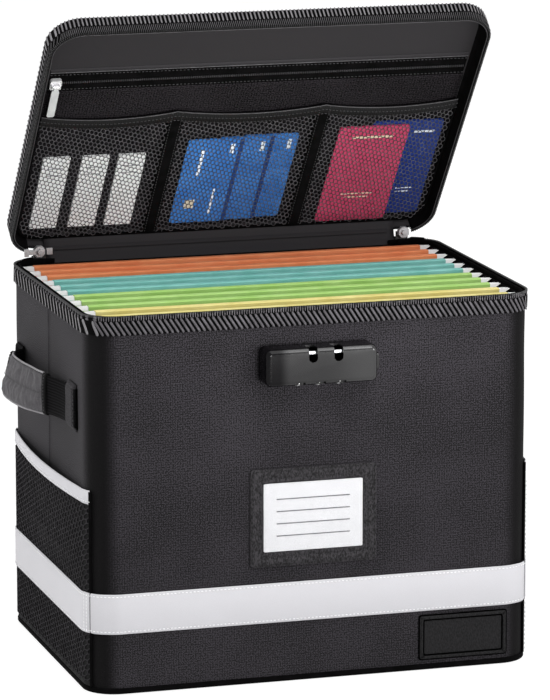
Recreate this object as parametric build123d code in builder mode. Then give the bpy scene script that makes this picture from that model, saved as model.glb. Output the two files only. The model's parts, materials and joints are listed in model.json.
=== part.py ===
"""Portable file box: a zipped fabric box on stiff boards, with a hinged lid, a combination
lock, carrying handles, side pockets and eleven hanging folders. Millimetres, +Z up.
The origin is the middle of the underside, +Y points from the front to the hinge."""

import os
from math import cos, radians, sin, sqrt

from build123d import *

# ---------------------------------------------------------------- driving dimensions
width = 350.0               # outside of the fabric body, along X
depth = 250.0               # outside of the fabric body, along Y
zip_level = 292.0           # where the box and the closed lid meet
corner_radius = 24.0
lid_height = 18.0           # from the zip level to the outside of the closed lid
lid_open_angle = 51.0       # how far the lid stands open

# wall build-up
fabric = 1.0
board = 2.5
lining = 1.0
wall = fabric + board + lining

# rim
rim_flare = 2.5             # how far the ribbed binding stands out of the wall
binding_height = 12.8
teeth_height = 2.0
teeth_width = 2.2
zip_drop = 1.2              # the box's teeth end this far below the zip level
zip_clear = 0.5             # the lid's teeth start this far above it
wall_top = zip_level - 6.0
teeth_top = zip_level - zip_drop
binding_top = teeth_top - teeth_height
zip_end_x = width / 2 - corner_radius      # the zip ends where the back corners start
hinge_half = 144.0          # half length of the fabric hinge

half_x = width / 2
half_y = depth / 2
corner_x = half_x - corner_radius          # centres of the corner arcs
corner_y = half_y - corner_radius
diagonal = sqrt(0.5)

os.makedirs("parts", exist_ok=True)


def finish(piece, node):
    """Names a finished piece and writes it."""
    piece.part.label = node
    export_step(piece.part, f"parts/{node}.step")


def outline(grow, mode=Mode.ADD):
    """The body's plan outline, grown outwards, in the sketch that is open."""
    RectangleRounded(width + 2 * grow, depth + 2 * grow, corner_radius + grow, mode=mode)


def ring(plane, outer, inner, height):
    """A band that follows the body's outline, from one growth to another."""
    with BuildPart() as band:
        with BuildSketch(plane):
            outline(outer)
            outline(inner, mode=Mode.SUBTRACT)
        extrude(amount=height)
    return band


# ---------------------------------------------------------------- lock and rivet holes
lock_screw_radius = 1.5
lock_screw_spots = [(x, z) for x in (-34.0, 34.0) for z in (240.0, 255.5)]
rivet_radius = 1.6
rivet_level = 273.0
rivet_spots = [-80.0, 0.0, 80.0]           # along Y


def bore_front(spots, radius):
    """Screw holes through the front wall, cut from the part that is open."""
    with BuildSketch(Plane.XZ.offset(half_y + 3)) as holes:
        with Locations(*spots):
            Circle(radius)
    extrude(holes.sketch, amount=-(wall + 6), mode=Mode.SUBTRACT)


def bore_sides(y_spots, level, radius):
    """Rivet holes through both side walls, cut from the part that is open."""
    for side in (-1, 1):
        with BuildSketch(Plane.YZ.offset(side * (half_x - fabric))) as holes:
            with Locations(*[(y, level) for y in y_spots]):
                Circle(radius)
        extrude(holes.sketch, amount=-side * (wall + 1), mode=Mode.SUBTRACT)


# ---------------------------------------------------------------- body: skin, boards, lining
with BuildPart() as outer_shell:
    with BuildSketch():
        outline(0)
    extrude(amount=wall_top)
    with BuildSketch(Plane.XY.offset(fabric)):
        outline(-fabric)
    extrude(amount=wall_top, mode=Mode.SUBTRACT)
    bore_front(lock_screw_spots, lock_screw_radius)
finish(outer_shell, "outer_shell")

base_thickness = 3.0
with BuildPart() as base_board:
    with BuildSketch(Plane.XY.offset(fabric)):
        outline(-fabric - 0.2)
    extrude(amount=base_thickness)
finish(base_board, "base_board")

floor_level = fabric + base_thickness
with BuildPart() as inner_lining:
    with BuildSketch(Plane.XY.offset(floor_level)):
        outline(-fabric - board)
    extrude(amount=wall_top - floor_level)
    with BuildSketch(Plane.XY.offset(floor_level + lining)):
        outline(-wall)
    extrude(amount=wall_top, mode=Mode.SUBTRACT)
    bore_front(lock_screw_spots, lock_screw_radius)
    bore_sides(rivet_spots, rivet_level, rivet_radius)
finish(inner_lining, "inner_lining")

board_edge = 2.0            # boards stop this far before the corners' arcs
board_low = floor_level + 0.3
board_high = wall_top - 0.3

for node, middle in (("front_board", -half_y + fabric + board / 2), ("back_board", half_y - fabric - board / 2)):
    with BuildPart() as wall_board:
        with BuildSketch(Plane.XY.offset(board_low)):
            with Locations((0, middle)):
                Rectangle(2 * (corner_x - board_edge), board)
        extrude(amount=board_high - board_low)
        bore_front(lock_screw_spots, lock_screw_radius)
    finish(wall_board, node)

fold_gap = 4.0              # between the two half boards of a side, where the wall folds
half_board = corner_y - board_edge - fold_gap / 2
for node, side in (("left_side_boards", -1), ("right_side_boards", 1)):
    with BuildPart() as side_boards:
        with BuildSketch(Plane.XY.offset(board_low)):
            for end in (-1, 1):
                with Locations((side * (half_x - fabric - board / 2), end * (fold_gap + half_board) / 2)):
                    Rectangle(board, half_board)
        extrude(amount=board_high - board_low)
        bore_sides(rivet_spots, rivet_level, rivet_radius)
    finish(side_boards, node)

piping_stand = 1.5
bottom_piping = ring(Plane.XY.offset(0.6), piping_stand, 0, 4.4)
finish(bottom_piping, "bottom_piping")

# ---------------------------------------------------------------- rim, zip and hinge fabric
rim_binding = ring(Plane.XY.offset(binding_top - binding_height), rim_flare, 0, binding_height)
finish(rim_binding, "rim_binding")


def clear_back(plane, half_length, height):
    """Cuts the open part away along the middle of the back edge."""
    with BuildSketch(plane) as opening:
        with Locations((0, half_y)):
            Rectangle(2 * half_length, 4 * rim_flare)
    extrude(opening.sketch, amount=height, mode=Mode.SUBTRACT)


with BuildPart() as box_zip_teeth:
    with BuildSketch(Plane.XY.offset(binding_top)):
        outline(teeth_width)
        outline(0, mode=Mode.SUBTRACT)
    extrude(amount=teeth_height)
    clear_back(Plane.XY.offset(binding_top), zip_end_x, teeth_height)
finish(box_zip_teeth, "box_zip_teeth")

with BuildPart() as hinge_fabric:
    with BuildSketch(Plane.XY.offset(binding_top)):
        with Locations((0, half_y + rim_flare / 2)):
            Rectangle(2 * hinge_half, rim_flare)
    extrude(amount=zip_level - 0.2 - binding_top)
finish(hinge_fabric, "hinge_fabric")

# ---------------------------------------------------------------- side pockets and pale band
pocket_low = 5.2            # just above the piping
pocket_high = 157.0
pocket_skin = 1.0
pocket_proud = 1.8          # of the sewn edges, at the corners
pocket_bulge = 6.2          # of the middle, beyond the sewn edges
trim_height = 11.0
trim_skin = 0.7
band_low = 47.0
band_high = 78.0
band_skin = 0.8


def sleeve(side, inner, inner_bulge, outer, outer_bulge):
    """Plan of a layer that wraps one side from corner to corner, in the open sketch.

    Each face is given by its growth at the corners and its growth at mid-side."""
    def edge(grow, bulge):
        reach = corner_radius + grow
        turned = reach * diagonal
        front = (side * (corner_x + turned), -corner_y - turned)
        rear = (side * (corner_x + turned), corner_y + turned)
        flat_front = (side * (corner_x + reach), -corner_y)
        flat_rear = (side * (corner_x + reach), corner_y)
        near = reach * cos(radians(22.5)), reach * sin(radians(22.5))
        ThreePointArc(front, (side * (corner_x + near[0]), -corner_y - near[1]), flat_front)
        if bulge > 0:
            ThreePointArc(flat_front, (side * (corner_x + reach + bulge), 0), flat_rear)
        else:
            Line(flat_front, flat_rear)
        ThreePointArc(flat_rear, (side * (corner_x + near[0]), corner_y + near[1]), rear)
        return front, rear

    with BuildLine() as plan:
        outer_front, outer_rear = edge(outer, outer_bulge)
        inner_front, inner_rear = edge(inner, inner_bulge)
        Line(outer_front, inner_front)
        Line(outer_rear, inner_rear)
    make_face(plan.edges())


for node, side in (("left_mesh_pocket", -1), ("right_mesh_pocket", 1)):
    with BuildPart() as mesh_pocket:
        with BuildSketch(Plane.XY.offset(pocket_low)):
            sleeve(side, 0, pocket_bulge + pocket_proud - pocket_skin, pocket_proud, pocket_bulge)
        extrude(amount=pocket_high - pocket_low)
        with BuildSketch(Plane.XY.offset(pocket_low)):
            sleeve(side, 0, 0, pocket_proud, pocket_bulge)
        extrude(amount=2 * pocket_skin)
    finish(mesh_pocket, node)

with BuildPart() as pocket_trims:
    with BuildSketch(Plane.XY.offset(pocket_high - trim_height)):
        for side in (-1, 1):
            sleeve(side, pocket_proud, pocket_bulge, pocket_proud + trim_skin, pocket_bulge)
    extrude(amount=trim_height)
finish(pocket_trims, "pocket_trims")

strip_end_y = corner_y + (corner_radius + band_skin) * diagonal + 0.2
with BuildPart() as reflective_band:
    with BuildSketch(Plane.XY.offset(band_low)):
        outline(band_skin)
        outline(0, mode=Mode.SUBTRACT)
        Rectangle(2 * width, 2 * strip_end_y, mode=Mode.SUBTRACT)
        for side in (-1, 1):
            sleeve(side, pocket_proud, pocket_bulge, pocket_proud + trim_skin, pocket_bulge)
    extrude(amount=band_high - band_low)
finish(reflective_band, "reflective_band")

# ---------------------------------------------------------------- handles
handle_level = 214.5        # middle of the webbing
webbing_width = 30.0
webbing_thick = 2.4
grip_width = 33.0
grip_thick = 7.0
grip_round = 2.6            # the padding thins towards its long edges
grip_start = -30.0          # the grip hangs between these two places along Y
grip_end = 60.0
grip_gap = 0.3
# the webbing's middle line in plan: distance along Y, distance out of the wall
handle_line = [(-92.0, 1.6), (-79.0, 1.6), (-66.0, 1.7), (-50.0, 4.2), (-30.0, 11.0), (-14.0, 17.5),
               (5.0, 22.6), (27.0, 24.4), (49.0, 22.6), (58.0, 18.5), (64.0, 12.8), (68.0, 7.5),
               (71.5, 3.6), (75.0, 1.8), (79.0, 1.6), (84.0, 1.6), (90.0, 1.6), (98.0, 1.6)]
patches = [(-88.0, 22.0), (76.0, 20.0)]    # where each patch that sews the webbing down starts, its length
patch_height = 38.0
patch_stand = 4.2
patch_skin = 0.8


def strap(side, thick, tall, start, end):
    """A length of the handle's loop, cut square between two places along Y."""
    with BuildPart() as piece:
        with BuildSketch(Plane.XY.offset(handle_level - tall / 2)):
            with BuildLine() as path:
                Spline(*[(side * (half_x + out), y) for y, out in handle_line])
            trace(path.edges(), line_width=thick)
            with Locations((side * half_x, (start + end) / 2)):
                Rectangle(200, end - start, mode=Mode.INTERSECT)
            with Locations((side * (half_x - 50), 0)):
                Rectangle(100, depth, mode=Mode.SUBTRACT)
        extrude(amount=tall)
    return piece


for name, side in (("left", -1), ("right", 1)):
    front_end = strap(side, webbing_thick, webbing_width, -90.0, grip_start - grip_gap)
    rear_end = strap(side, webbing_thick, webbing_width, grip_end + grip_gap, 97.0)
    with BuildPart() as handle_strap:
        add(front_end)
        add(rear_end)
    finish(handle_strap, f"{name}_handle_strap")
    with BuildPart() as handle_grip:
        add(strap(side, grip_thick, grip_width, grip_start, grip_end))
        long_edges = [edge for edge in handle_grip.edges() if edge.length > 50]
        fillet(long_edges, grip_round)
    finish(handle_grip, f"{name}_handle_grip")

with BuildPart() as handle_patches:
    for side in (-1, 1):
        for patch_start, patch_length in patches:
            with BuildSketch(Plane.XZ.offset(-patch_start)):
                with Locations((side * (half_x + patch_stand / 2), handle_level)):
                    Rectangle(patch_stand, patch_height)
                with Locations((side * (half_x + (patch_stand - patch_skin) / 2), handle_level)):
                    Rectangle(patch_stand - patch_skin, webbing_width + 0.6, mode=Mode.SUBTRACT)
            extrude(amount=-patch_length)
finish(handle_patches, "handle_patches")

# ---------------------------------------------------------------- label holder and bare patch
label_x = -1.0
label_level = 129.0         # middle of the label frame
label_width = 100.0
label_height = 76.0
label_skin = 1.6
card_width = 79.0
card_height = 53.5
front = Plane.XZ.offset(half_y)            # the front face, its normal pointing forward

with BuildPart() as label_frame:
    with BuildSketch(front):
        with Locations((label_x, label_level)):
            RectangleRounded(label_width, label_height, 3)
            RectangleRounded(card_width, card_height, 1, mode=Mode.SUBTRACT)
    extrude(amount=label_skin)
finish(label_frame, "label_frame")

with BuildPart() as label_card:
    with BuildSketch(front):
        with Locations((label_x, label_level)):
            RectangleRounded(card_width - 0.6, card_height - 0.6, 1)
    extrude(amount=0.6)
finish(label_card, "label_card")

with BuildPart() as label_window:
    with BuildSketch(front.offset(0.7)):
        with Locations((label_x, label_level)):
            RectangleRounded(card_width - 0.6, card_height - 0.6, 1)
    extrude(amount=0.5)
finish(label_window, "label_window")

badge_x = 119.5
badge_level = 26.0
badge_width = 70.0
badge_height = 34.0
with BuildPart() as badge_patch:
    with BuildSketch(front):
        with Locations((badge_x, badge_level)):
            RectangleRounded(badge_width, badge_height, 3)
    extrude(amount=1.2)
    with BuildSketch(front.offset(1.2)):
        with Locations((badge_x, badge_level)):
            RectangleRounded(badge_width, badge_height, 3)
            RectangleRounded(badge_width - 5, badge_height - 5, 2, mode=Mode.SUBTRACT)
    extrude(amount=0.5)
finish(badge_patch, "badge_patch")

# ---------------------------------------------------------------- folder rails and rivets
inner_x = half_x - wall
inner_y = half_y - wall
rail_thick = 1.5
rail_low = 264.0
rail_foot = 7.0             # how far the rail reaches into the box
rail_lip_top = 280.5
rail_back_top = 279.0       # of the leg against the wall
rail_back_half = 100.0      # half length of that leg
rail_half = 110.0           # half length of the lip that the folders hang on

with BuildPart() as folder_rails:
    for side in (-1, 1):
        with BuildSketch(Plane.XY.offset(rail_low)):
            with Locations((side * (inner_x - rail_thick / 2), 0)):
                Rectangle(rail_thick, 2 * rail_back_half)
        extrude(amount=rail_back_top - rail_low)
        with BuildSketch(Plane.XY.offset(rail_low)):
            with Locations((side * (inner_x - rail_foot / 2), 0)):
                Rectangle(rail_foot, 2 * rail_back_half)
            with Locations((side * (inner_x - rail_foot + 2.2), 0)):
                Rectangle(4.4, 2 * rail_half)
        extrude(amount=rail_thick)
        with BuildSketch(Plane.XY.offset(rail_low)):
            with Locations((side * (inner_x - rail_foot + rail_thick / 2), 0)):
                Rectangle(rail_thick, 2 * rail_half)
        extrude(amount=rail_lip_top - rail_low)
        with BuildSketch(Plane.YZ.offset(side * (inner_x + 1))):
            with Locations(*[(y, rivet_level) for y in rivet_spots]):
                Circle(rivet_radius)
        extrude(amount=-side * (rail_thick + 2), mode=Mode.SUBTRACT)
finish(folder_rails, "folder_rails")

with BuildPart() as rail_rivets:
    for side in (-1, 1):
        rivet_faces = (
            (inner_x + lining + board, -(lining + board + rail_thick + 0.1), rivet_radius),
            (inner_x - rail_thick, -1.0, 3.0),
        )
        for start, length, radius in rivet_faces:
            with BuildSketch(Plane.YZ.offset(side * start)):
                with Locations(*[(y, rivet_level) for y in rivet_spots]):
                    Circle(radius)
            extrude(amount=side * length)
finish(rail_rivets, "rail_rivets")

# ---------------------------------------------------------------- hanging folders
folder_count = 11
folder_pitch = 21.2
folder_half = 160.0         # half width of a folder's sheet
folder_top = 288.0
folder_low = 46.0
hanger_thick = 1.5
hanger_tall = 6.0
hanger_apart = 3.4          # between the middles of a folder's two hangers
hanger_low = 280.7
hanger_tip = inner_x - 2.5
fold_thick = 0.8            # paper folded over a hanger
head_half = hanger_apart / 2 + hanger_thick / 2 + fold_thick
sheet_half = 0.6            # half thickness of the two leaves together
folder_places = [(i - (folder_count - 1) / 2) * -folder_pitch for i in range(folder_count)]
folder_colours = ["orange"] * 3 + ["teal"] * 3 + ["green"] * 3 + ["yellow"] * 2


def folder_profile(y):
    """A closed folder seen from the side: two folded heads on a thin sheet."""
    with BuildLine() as profile:
        Polyline((y - sheet_half, folder_low), (y + sheet_half, folder_low), (y + sheet_half, 262.0),
                 (y + head_half, 276.0), (y + head_half, folder_top - 0.8), (y + head_half - 0.8, folder_top),
                 (y - head_half + 0.8, folder_top), (y - head_half, folder_top - 0.8),
                 (y - head_half, 276.0), (y - sheet_half, 262.0), close=True)
    make_face(profile.edges())


for colour in ("orange", "teal", "green", "yellow"):
    with BuildPart() as folders:
        with BuildSketch(Plane.YZ.offset(-folder_half)):
            for place, own in zip(folder_places, folder_colours):
                if own == colour:
                    folder_profile(place)
                    for lean in (-1, 1):
                        with Locations((place + lean * hanger_apart / 2, hanger_low + hanger_tall / 2)):
                            Rectangle(hanger_thick + 0.1, hanger_tall + 0.1, mode=Mode.SUBTRACT)
        extrude(amount=2 * folder_half)
    finish(folders, f"{colour}_folders")

notch_in = inner_x - rail_foot - 0.4       # the notch that sits on the rail's lip
notch_out = inner_x - rail_foot + rail_thick + 0.4
with BuildPart() as folder_hangers:
    for place in folder_places:
        for lean in (-1, 1):
            with BuildSketch(Plane.XZ.offset(-place - lean * hanger_apart / 2 - hanger_thick / 2)):
                with Locations((0, hanger_low + hanger_tall / 2)):
                    Rectangle(2 * hanger_tip, hanger_tall)
                for side in (-1, 1):
                    with Locations((side * (notch_out + hanger_tip) / 2, hanger_low)):
                        Rectangle(hanger_tip - notch_out, 5)
            extrude(amount=hanger_thick)
finish(folder_hangers, "folder_hangers")

# ---------------------------------------------------------------- combination lock
lock_width = 88.0
lock_low = 233.5
lock_high = 262.0
lock_stand = 20.0           # out of the front wall
lock_skin = 1.5
lock_round = 5.0
lock_level = (lock_low + lock_high) / 2
lock_tall = lock_high - lock_low
slot_places = (-7.0, 13.0)  # the notches that take the zip pulls
slot_width = 7.0
slot_depth = 11.0
dial_places = (-17.0, -1.0, 15.0)
dial_radius = 7.5
dial_width = 7.0
dial_axis_y = -half_y - 10.5
dial_axis_z = 239.8
axle_radius = 1.5
axle_fit = 0.05
axle_half = 25.0
axle_middle = -1.0
post_thick = 2.0
bolt_side = 2.4
bolt_y = -half_y - 14.5
bolt_level = 257.6
button_width = 10.4
button_height = 13.0
button_y = -half_y - 10.0
button_level = 248.0
button_gap = 0.3
button_stand = 2.6          # how far the button shows beyond the cover
button_travel = 2.0
flange_thick = 1.2

with BuildPart() as lock_cover:
    with BuildSketch(front):
        with Locations((0, lock_level)):
            RectangleRounded(lock_width, lock_tall, lock_round)
    extrude(amount=lock_stand)
    fillet(lock_cover.faces().sort_by(Axis.Y)[0].edges(), 4)
    with BuildSketch(front):
        with Locations((0, lock_level)):
            RectangleRounded(lock_width - 2 * lock_skin, lock_tall - 2 * lock_skin, lock_round - lock_skin)
    extrude(amount=lock_stand - lock_skin, mode=Mode.SUBTRACT)
    # notches open at the top and at the front
    with BuildSketch(front.offset(7)):
        for x in slot_places:
            with Locations((x, lock_high - slot_depth + slot_width / 2)):
                Circle(slot_width / 2)
            with Locations((x, lock_high)):
                Rectangle(slot_width, 2 * (slot_depth - slot_width / 2))
    extrude(amount=lock_stand, mode=Mode.SUBTRACT)
    # windows that the dials stand out of, along the lower front edge
    with BuildSketch(front.offset(3)):
        for x in dial_places:
            with Locations((x, lock_low)):
                Rectangle(dial_width + 1, 5)
    extrude(amount=lock_stand, mode=Mode.SUBTRACT)
    # hole for the release button in the right end
    with BuildSketch(Plane.YZ.offset(lock_width / 2 - 5)):
        with Locations((button_y, button_level)):
            RectangleRounded(button_width + 2 * button_gap, button_height + 2 * button_gap, 2)
    extrude(amount=10, mode=Mode.SUBTRACT)
finish(lock_cover, "lock_cover")

base_clear = 0.2
base_plate = 2.0
with BuildPart() as lock_base:
    with BuildSketch(front):
        with Locations((0, lock_level)):
            RectangleRounded(lock_width - 2 * lock_skin - 2 * base_clear,
                             lock_tall - 2 * lock_skin - 2 * base_clear, lock_round - lock_skin)
    extrude(amount=base_plate)
    with BuildSketch(Plane.XZ.offset(half_y + base_plate)):
        for end in (-1, 1):
            with Locations((axle_middle + end * (axle_half - post_thick / 2), dial_axis_z)):
                Rectangle(post_thick, 2 * axle_radius + 5)
    extrude(amount=-half_y - base_plate - dial_axis_y + axle_radius + 2)
    with BuildSketch(Plane.YZ.offset(axle_middle - axle_half - 1)):
        with Locations((dial_axis_y, dial_axis_z)):
            Circle(axle_radius)
    extrude(amount=2 * axle_half + 2, mode=Mode.SUBTRACT)
    bore_front(lock_screw_spots, lock_screw_radius)
finish(lock_base, "lock_base")

with BuildPart() as dial_axle:
    with BuildSketch(Plane.YZ.offset(axle_middle - axle_half)):
        with Locations((dial_axis_y, dial_axis_z)):
            Circle(axle_radius)
    extrude(amount=2 * axle_half)
finish(dial_axle, "dial_axle")

dial_digits = 10
for name, place in zip(("left", "middle", "right"), dial_places):
    dial_plane = Plane(origin=(place - dial_width / 2, dial_axis_y, dial_axis_z), x_dir=(0, 1, 0), z_dir=(1, 0, 0))
    with BuildPart() as dial:
        with BuildSketch(dial_plane):
            Circle(dial_radius)
            Circle(axle_radius + axle_fit, mode=Mode.SUBTRACT)
            with PolarLocations(dial_radius + 0.5, dial_digits, start_angle=18):
                Circle(1.1, mode=Mode.SUBTRACT)
        extrude(amount=dial_width)
    finish(dial, f"dial_{name}")

with BuildPart() as lock_bolt:
    with BuildSketch(Plane.YZ.offset(slot_places[0] - slot_width)):
        with Locations((bolt_y, bolt_level)):
            RectangleRounded(bolt_side, bolt_side, 0.4)
    extrude(amount=lock_width / 2 - lock_skin - flange_thick - 0.4 - (slot_places[0] - slot_width))
finish(lock_bolt, "lock_bolt")

flange_x = lock_width / 2 - lock_skin - flange_thick - 0.3
with BuildPart() as release_button:
    with BuildSketch(Plane.YZ.offset(flange_x)):
        with Locations((button_y, button_level)):
            RectangleRounded(button_width + 3, button_height + 3, 2)
    extrude(amount=flange_thick)
    with BuildSketch(Plane.YZ.offset(flange_x)):
        with Locations((button_y, button_level)):
            RectangleRounded(button_width, button_height, 2)
    extrude(amount=lock_width / 2 + button_stand - flange_x)
    fillet(release_button.faces().sort_by(Axis.X)[-1].edges(), 1)
finish(release_button, "release_button")

backing_thick = 1.5
with BuildPart() as lock_backing_plate:
    with BuildSketch(Plane.XZ.offset(inner_y)):
        with Locations((0, lock_level)):
            RectangleRounded(80, 25, 3)
    extrude(amount=-backing_thick)
    bore_front(lock_screw_spots, lock_screw_radius)
finish(lock_backing_plate, "lock_backing_plate")

screw_head = 1.6
with BuildPart() as lock_screws:
    with BuildSketch(Plane.XZ.offset(inner_y - backing_thick - screw_head)):
        with Locations(*lock_screw_spots):
            Circle(3)
    extrude(amount=screw_head)
    with BuildSketch(Plane.XZ.offset(inner_y - backing_thick)):
        with Locations(*lock_screw_spots):
            Circle(lock_screw_radius)
    extrude(amount=backing_thick + wall + base_plate - 0.2)
finish(lock_screws, "lock_screws")

# ---------------------------------------------------------------- lid
# The lid's own plane lies in its open mouth: its Y runs from the hinge to the free edge
# and its Z points to the inside, so a depth of -lid_height is the lid's outer face.
hinge_y = half_y + rim_flare
lid_half = hinge_y          # half of the lid's length
lean = radians(lid_open_angle)
lid_inward = Vector(0, -sin(lean), -cos(lean))
lid_along = Vector(0, -cos(lean), sin(lean))
lid_centre = Vector(0, hinge_y, zip_level) + lid_along * lid_half
lid_plane = Plane(origin=lid_centre, x_dir=(1, 0, 0), z_dir=lid_inward)

lid_edge_depth = -6.0       # the lid's walls start here, so that the zip sliders clear them
cover_depth = -lid_height + 2.7
parking_in = 144.5          # the sliders' parking place, left free in the lid's zip
parking_out = 158.5
parking_depth = -7.3
fit = 0.2                   # between the lid's layers


def hinge_side(from_x, to_x, depth_low, depth_high, mode=Mode.SUBTRACT):
    """A block across the lid's hinge edge, both left and right, in the open part."""
    with BuildSketch(lid_plane.offset(depth_low)) as blocks:
        for side in (-1, 1):
            with Locations((side * (from_x + to_x) / 2, -lid_half + rim_flare)):
                Rectangle(to_x - from_x, 4 * rim_flare)
    extrude(blocks.sketch, amount=depth_high - depth_low, mode=mode)


with BuildPart() as lid_zip_teeth:
    with BuildSketch(lid_plane.offset(-zip_clear - teeth_height)):
        outline(teeth_width)
        outline(0, mode=Mode.SUBTRACT)
    extrude(amount=teeth_height)
    hinge_side(0, parking_out, -zip_clear - teeth_height, -zip_clear)
finish(lid_zip_teeth, "lid_zip_teeth")

lid_binding_low = -zip_clear - teeth_height
with BuildPart() as lid_binding:
    with BuildSketch(lid_plane.offset(cover_depth)):
        outline(rim_flare)
        outline(0, mode=Mode.SUBTRACT)
    extrude(amount=lid_binding_low - cover_depth)
    hinge_side(parking_in, parking_out, parking_depth, lid_binding_low)
    with BuildSketch(lid_plane.offset(lid_binding_low)):
        with Locations((0, -lid_half + rim_flare / 2)):
            Rectangle(2 * hinge_half, rim_flare)
    extrude(amount=-0.3 - lid_binding_low)
finish(lid_binding, "lid_binding")

with BuildPart() as lid_cover:
    with BuildSketch(lid_plane.offset(-lid_height)):
        outline(rim_flare)
    extrude(amount=lid_height + cover_depth)
    fillet(lid_cover.faces().filter_by(lid_plane).sort_by(Axis.Z)[-1].edges(), 2)
    with BuildSketch(lid_plane.offset(cover_depth)):
        outline(0)
    extrude(amount=lid_edge_depth - cover_depth)
    with BuildSketch(lid_plane.offset(-lid_height + fabric)):
        outline(-fabric)
    extrude(amount=lid_height, mode=Mode.SUBTRACT)
finish(lid_cover, "lid_cover")

lid_board_depth = -lid_height + fabric
with BuildPart() as lid_board:
    with BuildSketch(lid_plane.offset(lid_board_depth)):
        outline(-fabric - fit)
    extrude(amount=board)
finish(lid_board, "lid_board")

lid_floor = lid_board_depth + board + lining     # depth of the lining that shows
with BuildPart() as lid_lining:
    with BuildSketch(lid_plane.offset(lid_floor - lining)):
        outline(-fabric - fit)
    extrude(amount=lid_edge_depth - lid_floor + lining)
    with BuildSketch(lid_plane.offset(lid_floor)):
        outline(-fabric - fit - lining)
    extrude(amount=lid_height, mode=Mode.SUBTRACT)
finish(lid_lining, "lid_lining")

# ---------------------------------------------------------------- zipped pocket in the lid
pocket_zip_y = 60.5         # on the lid's plane
pocket_zip_half = 168.0
tape_width = 22.0
tape_skin = 0.8
small_slider_x = -163.0
small_slider_size = (9.0, 10.0, 3.0)
small_pin_radius = 0.7
small_barrel_radius = 1.5
pin_fit = 0.05
small_tab_length = 33.0
small_tab_width = 6.0
tab_thick = 1.0
ear_gap = 0.4
ear_thick = 1.0
barrel_length = 4.0

with BuildPart() as pocket_zip_tape:
    with BuildSketch(lid_plane.offset(lid_floor)):
        with Locations((0, pocket_zip_y)):
            Rectangle(2 * pocket_zip_half, tape_width)
    extrude(amount=tape_skin)
finish(pocket_zip_tape, "pocket_zip_tape")

slider_foot = lid_floor + tape_skin + 0.3
slider_face = slider_foot + small_slider_size[2]
pin_depth = slider_face + small_barrel_radius + 0.3
ear_middle = barrel_length / 2 + ear_gap + ear_thick / 2
pin_line = Plane(origin=lid_plane.from_local_coords((small_slider_x, pocket_zip_y, pin_depth)),
                 x_dir=lid_along, z_dir=(1, 0, 0))

with BuildPart() as pocket_zip_slider:
    with BuildSketch(lid_plane.offset(slider_foot)):
        with Locations((small_slider_x, pocket_zip_y)):
            RectangleRounded(small_slider_size[0], small_slider_size[1], 2)
    extrude(amount=small_slider_size[2])
    with BuildSketch(lid_plane.offset(slider_face)):
        for end in (-1, 1):
            with Locations((small_slider_x + end * ear_middle, pocket_zip_y)):
                Rectangle(ear_thick, 3)
    extrude(amount=pin_depth - slider_face + small_pin_radius + 0.5)
    with BuildSketch(pin_line.offset(-ear_middle)):
        Circle(small_pin_radius)
    extrude(amount=2 * ear_middle)
finish(pocket_zip_slider, "pocket_zip_slider")

with BuildPart() as pocket_zip_tab:
    with BuildSketch(pin_line.offset(-barrel_length / 2)):
        Circle(small_barrel_radius)
    extrude(amount=barrel_length)
    with BuildSketch(lid_plane.offset(pin_depth - tab_thick / 2)):
        with Locations((small_slider_x, pocket_zip_y - small_tab_length / 2 - 2)):
            RectangleRounded(small_tab_width, small_tab_length - 4, 1.5)
        with Locations((small_slider_x, pocket_zip_y - 2.5)):
            Rectangle(barrel_length - 0.6, 5)
    extrude(amount=tab_thick)
    with BuildSketch(pin_line.offset(-barrel_length / 2)):
        Circle(small_pin_radius + pin_fit)
    extrude(amount=barrel_length, mode=Mode.SUBTRACT)
finish(pocket_zip_tab, "pocket_zip_tab")

# ---------------------------------------------------------------- mesh pockets in the lid
mesh_half = 169.0
mesh_low = -lid_half + 11.0     # on the lid's plane, near the hinge
mesh_high = -lid_half + 140.0
elastic_high = -lid_half + 153.0
mesh_front = -8.8           # depth of the mesh's face
mesh_skin = 0.8
seam_skin = 1.0
pocket_seams = (-60.0, 60.0)

mesh_inset = -wall - 1.5     # keeps the pocket's lower corners inside the lid's walls
with BuildPart() as lid_mesh_pocket:
    with BuildSketch(lid_plane.offset(lid_floor)):
        with Locations((0, (mesh_low + mesh_high) / 2)):
            Rectangle(2 * mesh_half, mesh_high - mesh_low)
        outline(mesh_inset, mode=Mode.INTERSECT)
    extrude(amount=mesh_front - lid_floor)
    with BuildSketch(lid_plane.offset(lid_floor)):
        with Locations((0, (mesh_low + mesh_high) / 2 + seam_skin)):
            Rectangle(2 * (mesh_half - seam_skin), mesh_high - mesh_low)
        outline(mesh_inset - seam_skin, mode=Mode.INTERSECT)
        for x in pocket_seams:
            with Locations((x, 0)):
                Rectangle(seam_skin, depth, mode=Mode.SUBTRACT)
    extrude(amount=mesh_front - mesh_skin - lid_floor, mode=Mode.SUBTRACT)
finish(lid_mesh_pocket, "lid_mesh_pocket")

elastic_skin = 1.8
with BuildPart() as lid_pocket_elastic:
    with BuildSketch(lid_plane.offset(mesh_front + 0.4 - elastic_skin)):
        with Locations((0, (mesh_high + elastic_high) / 2)):
            Rectangle(2 * mesh_half, elastic_high - mesh_high)
    extrude(amount=elastic_skin)
    with BuildSketch(lid_plane.offset(lid_floor)):
        for x in (-mesh_half + 0.8, *pocket_seams, mesh_half - 0.8):
            with Locations((x, (mesh_high + elastic_high) / 2)):
                Rectangle(1.6, elastic_high - mesh_high)
    extrude(amount=mesh_front - elastic_skin + 0.5 - lid_floor)
finish(lid_pocket_elastic, "lid_pocket_elastic")

# ---------------------------------------------------------------- what lies in the mesh pockets
pocket_floor = mesh_low + seam_skin + 0.5


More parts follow.
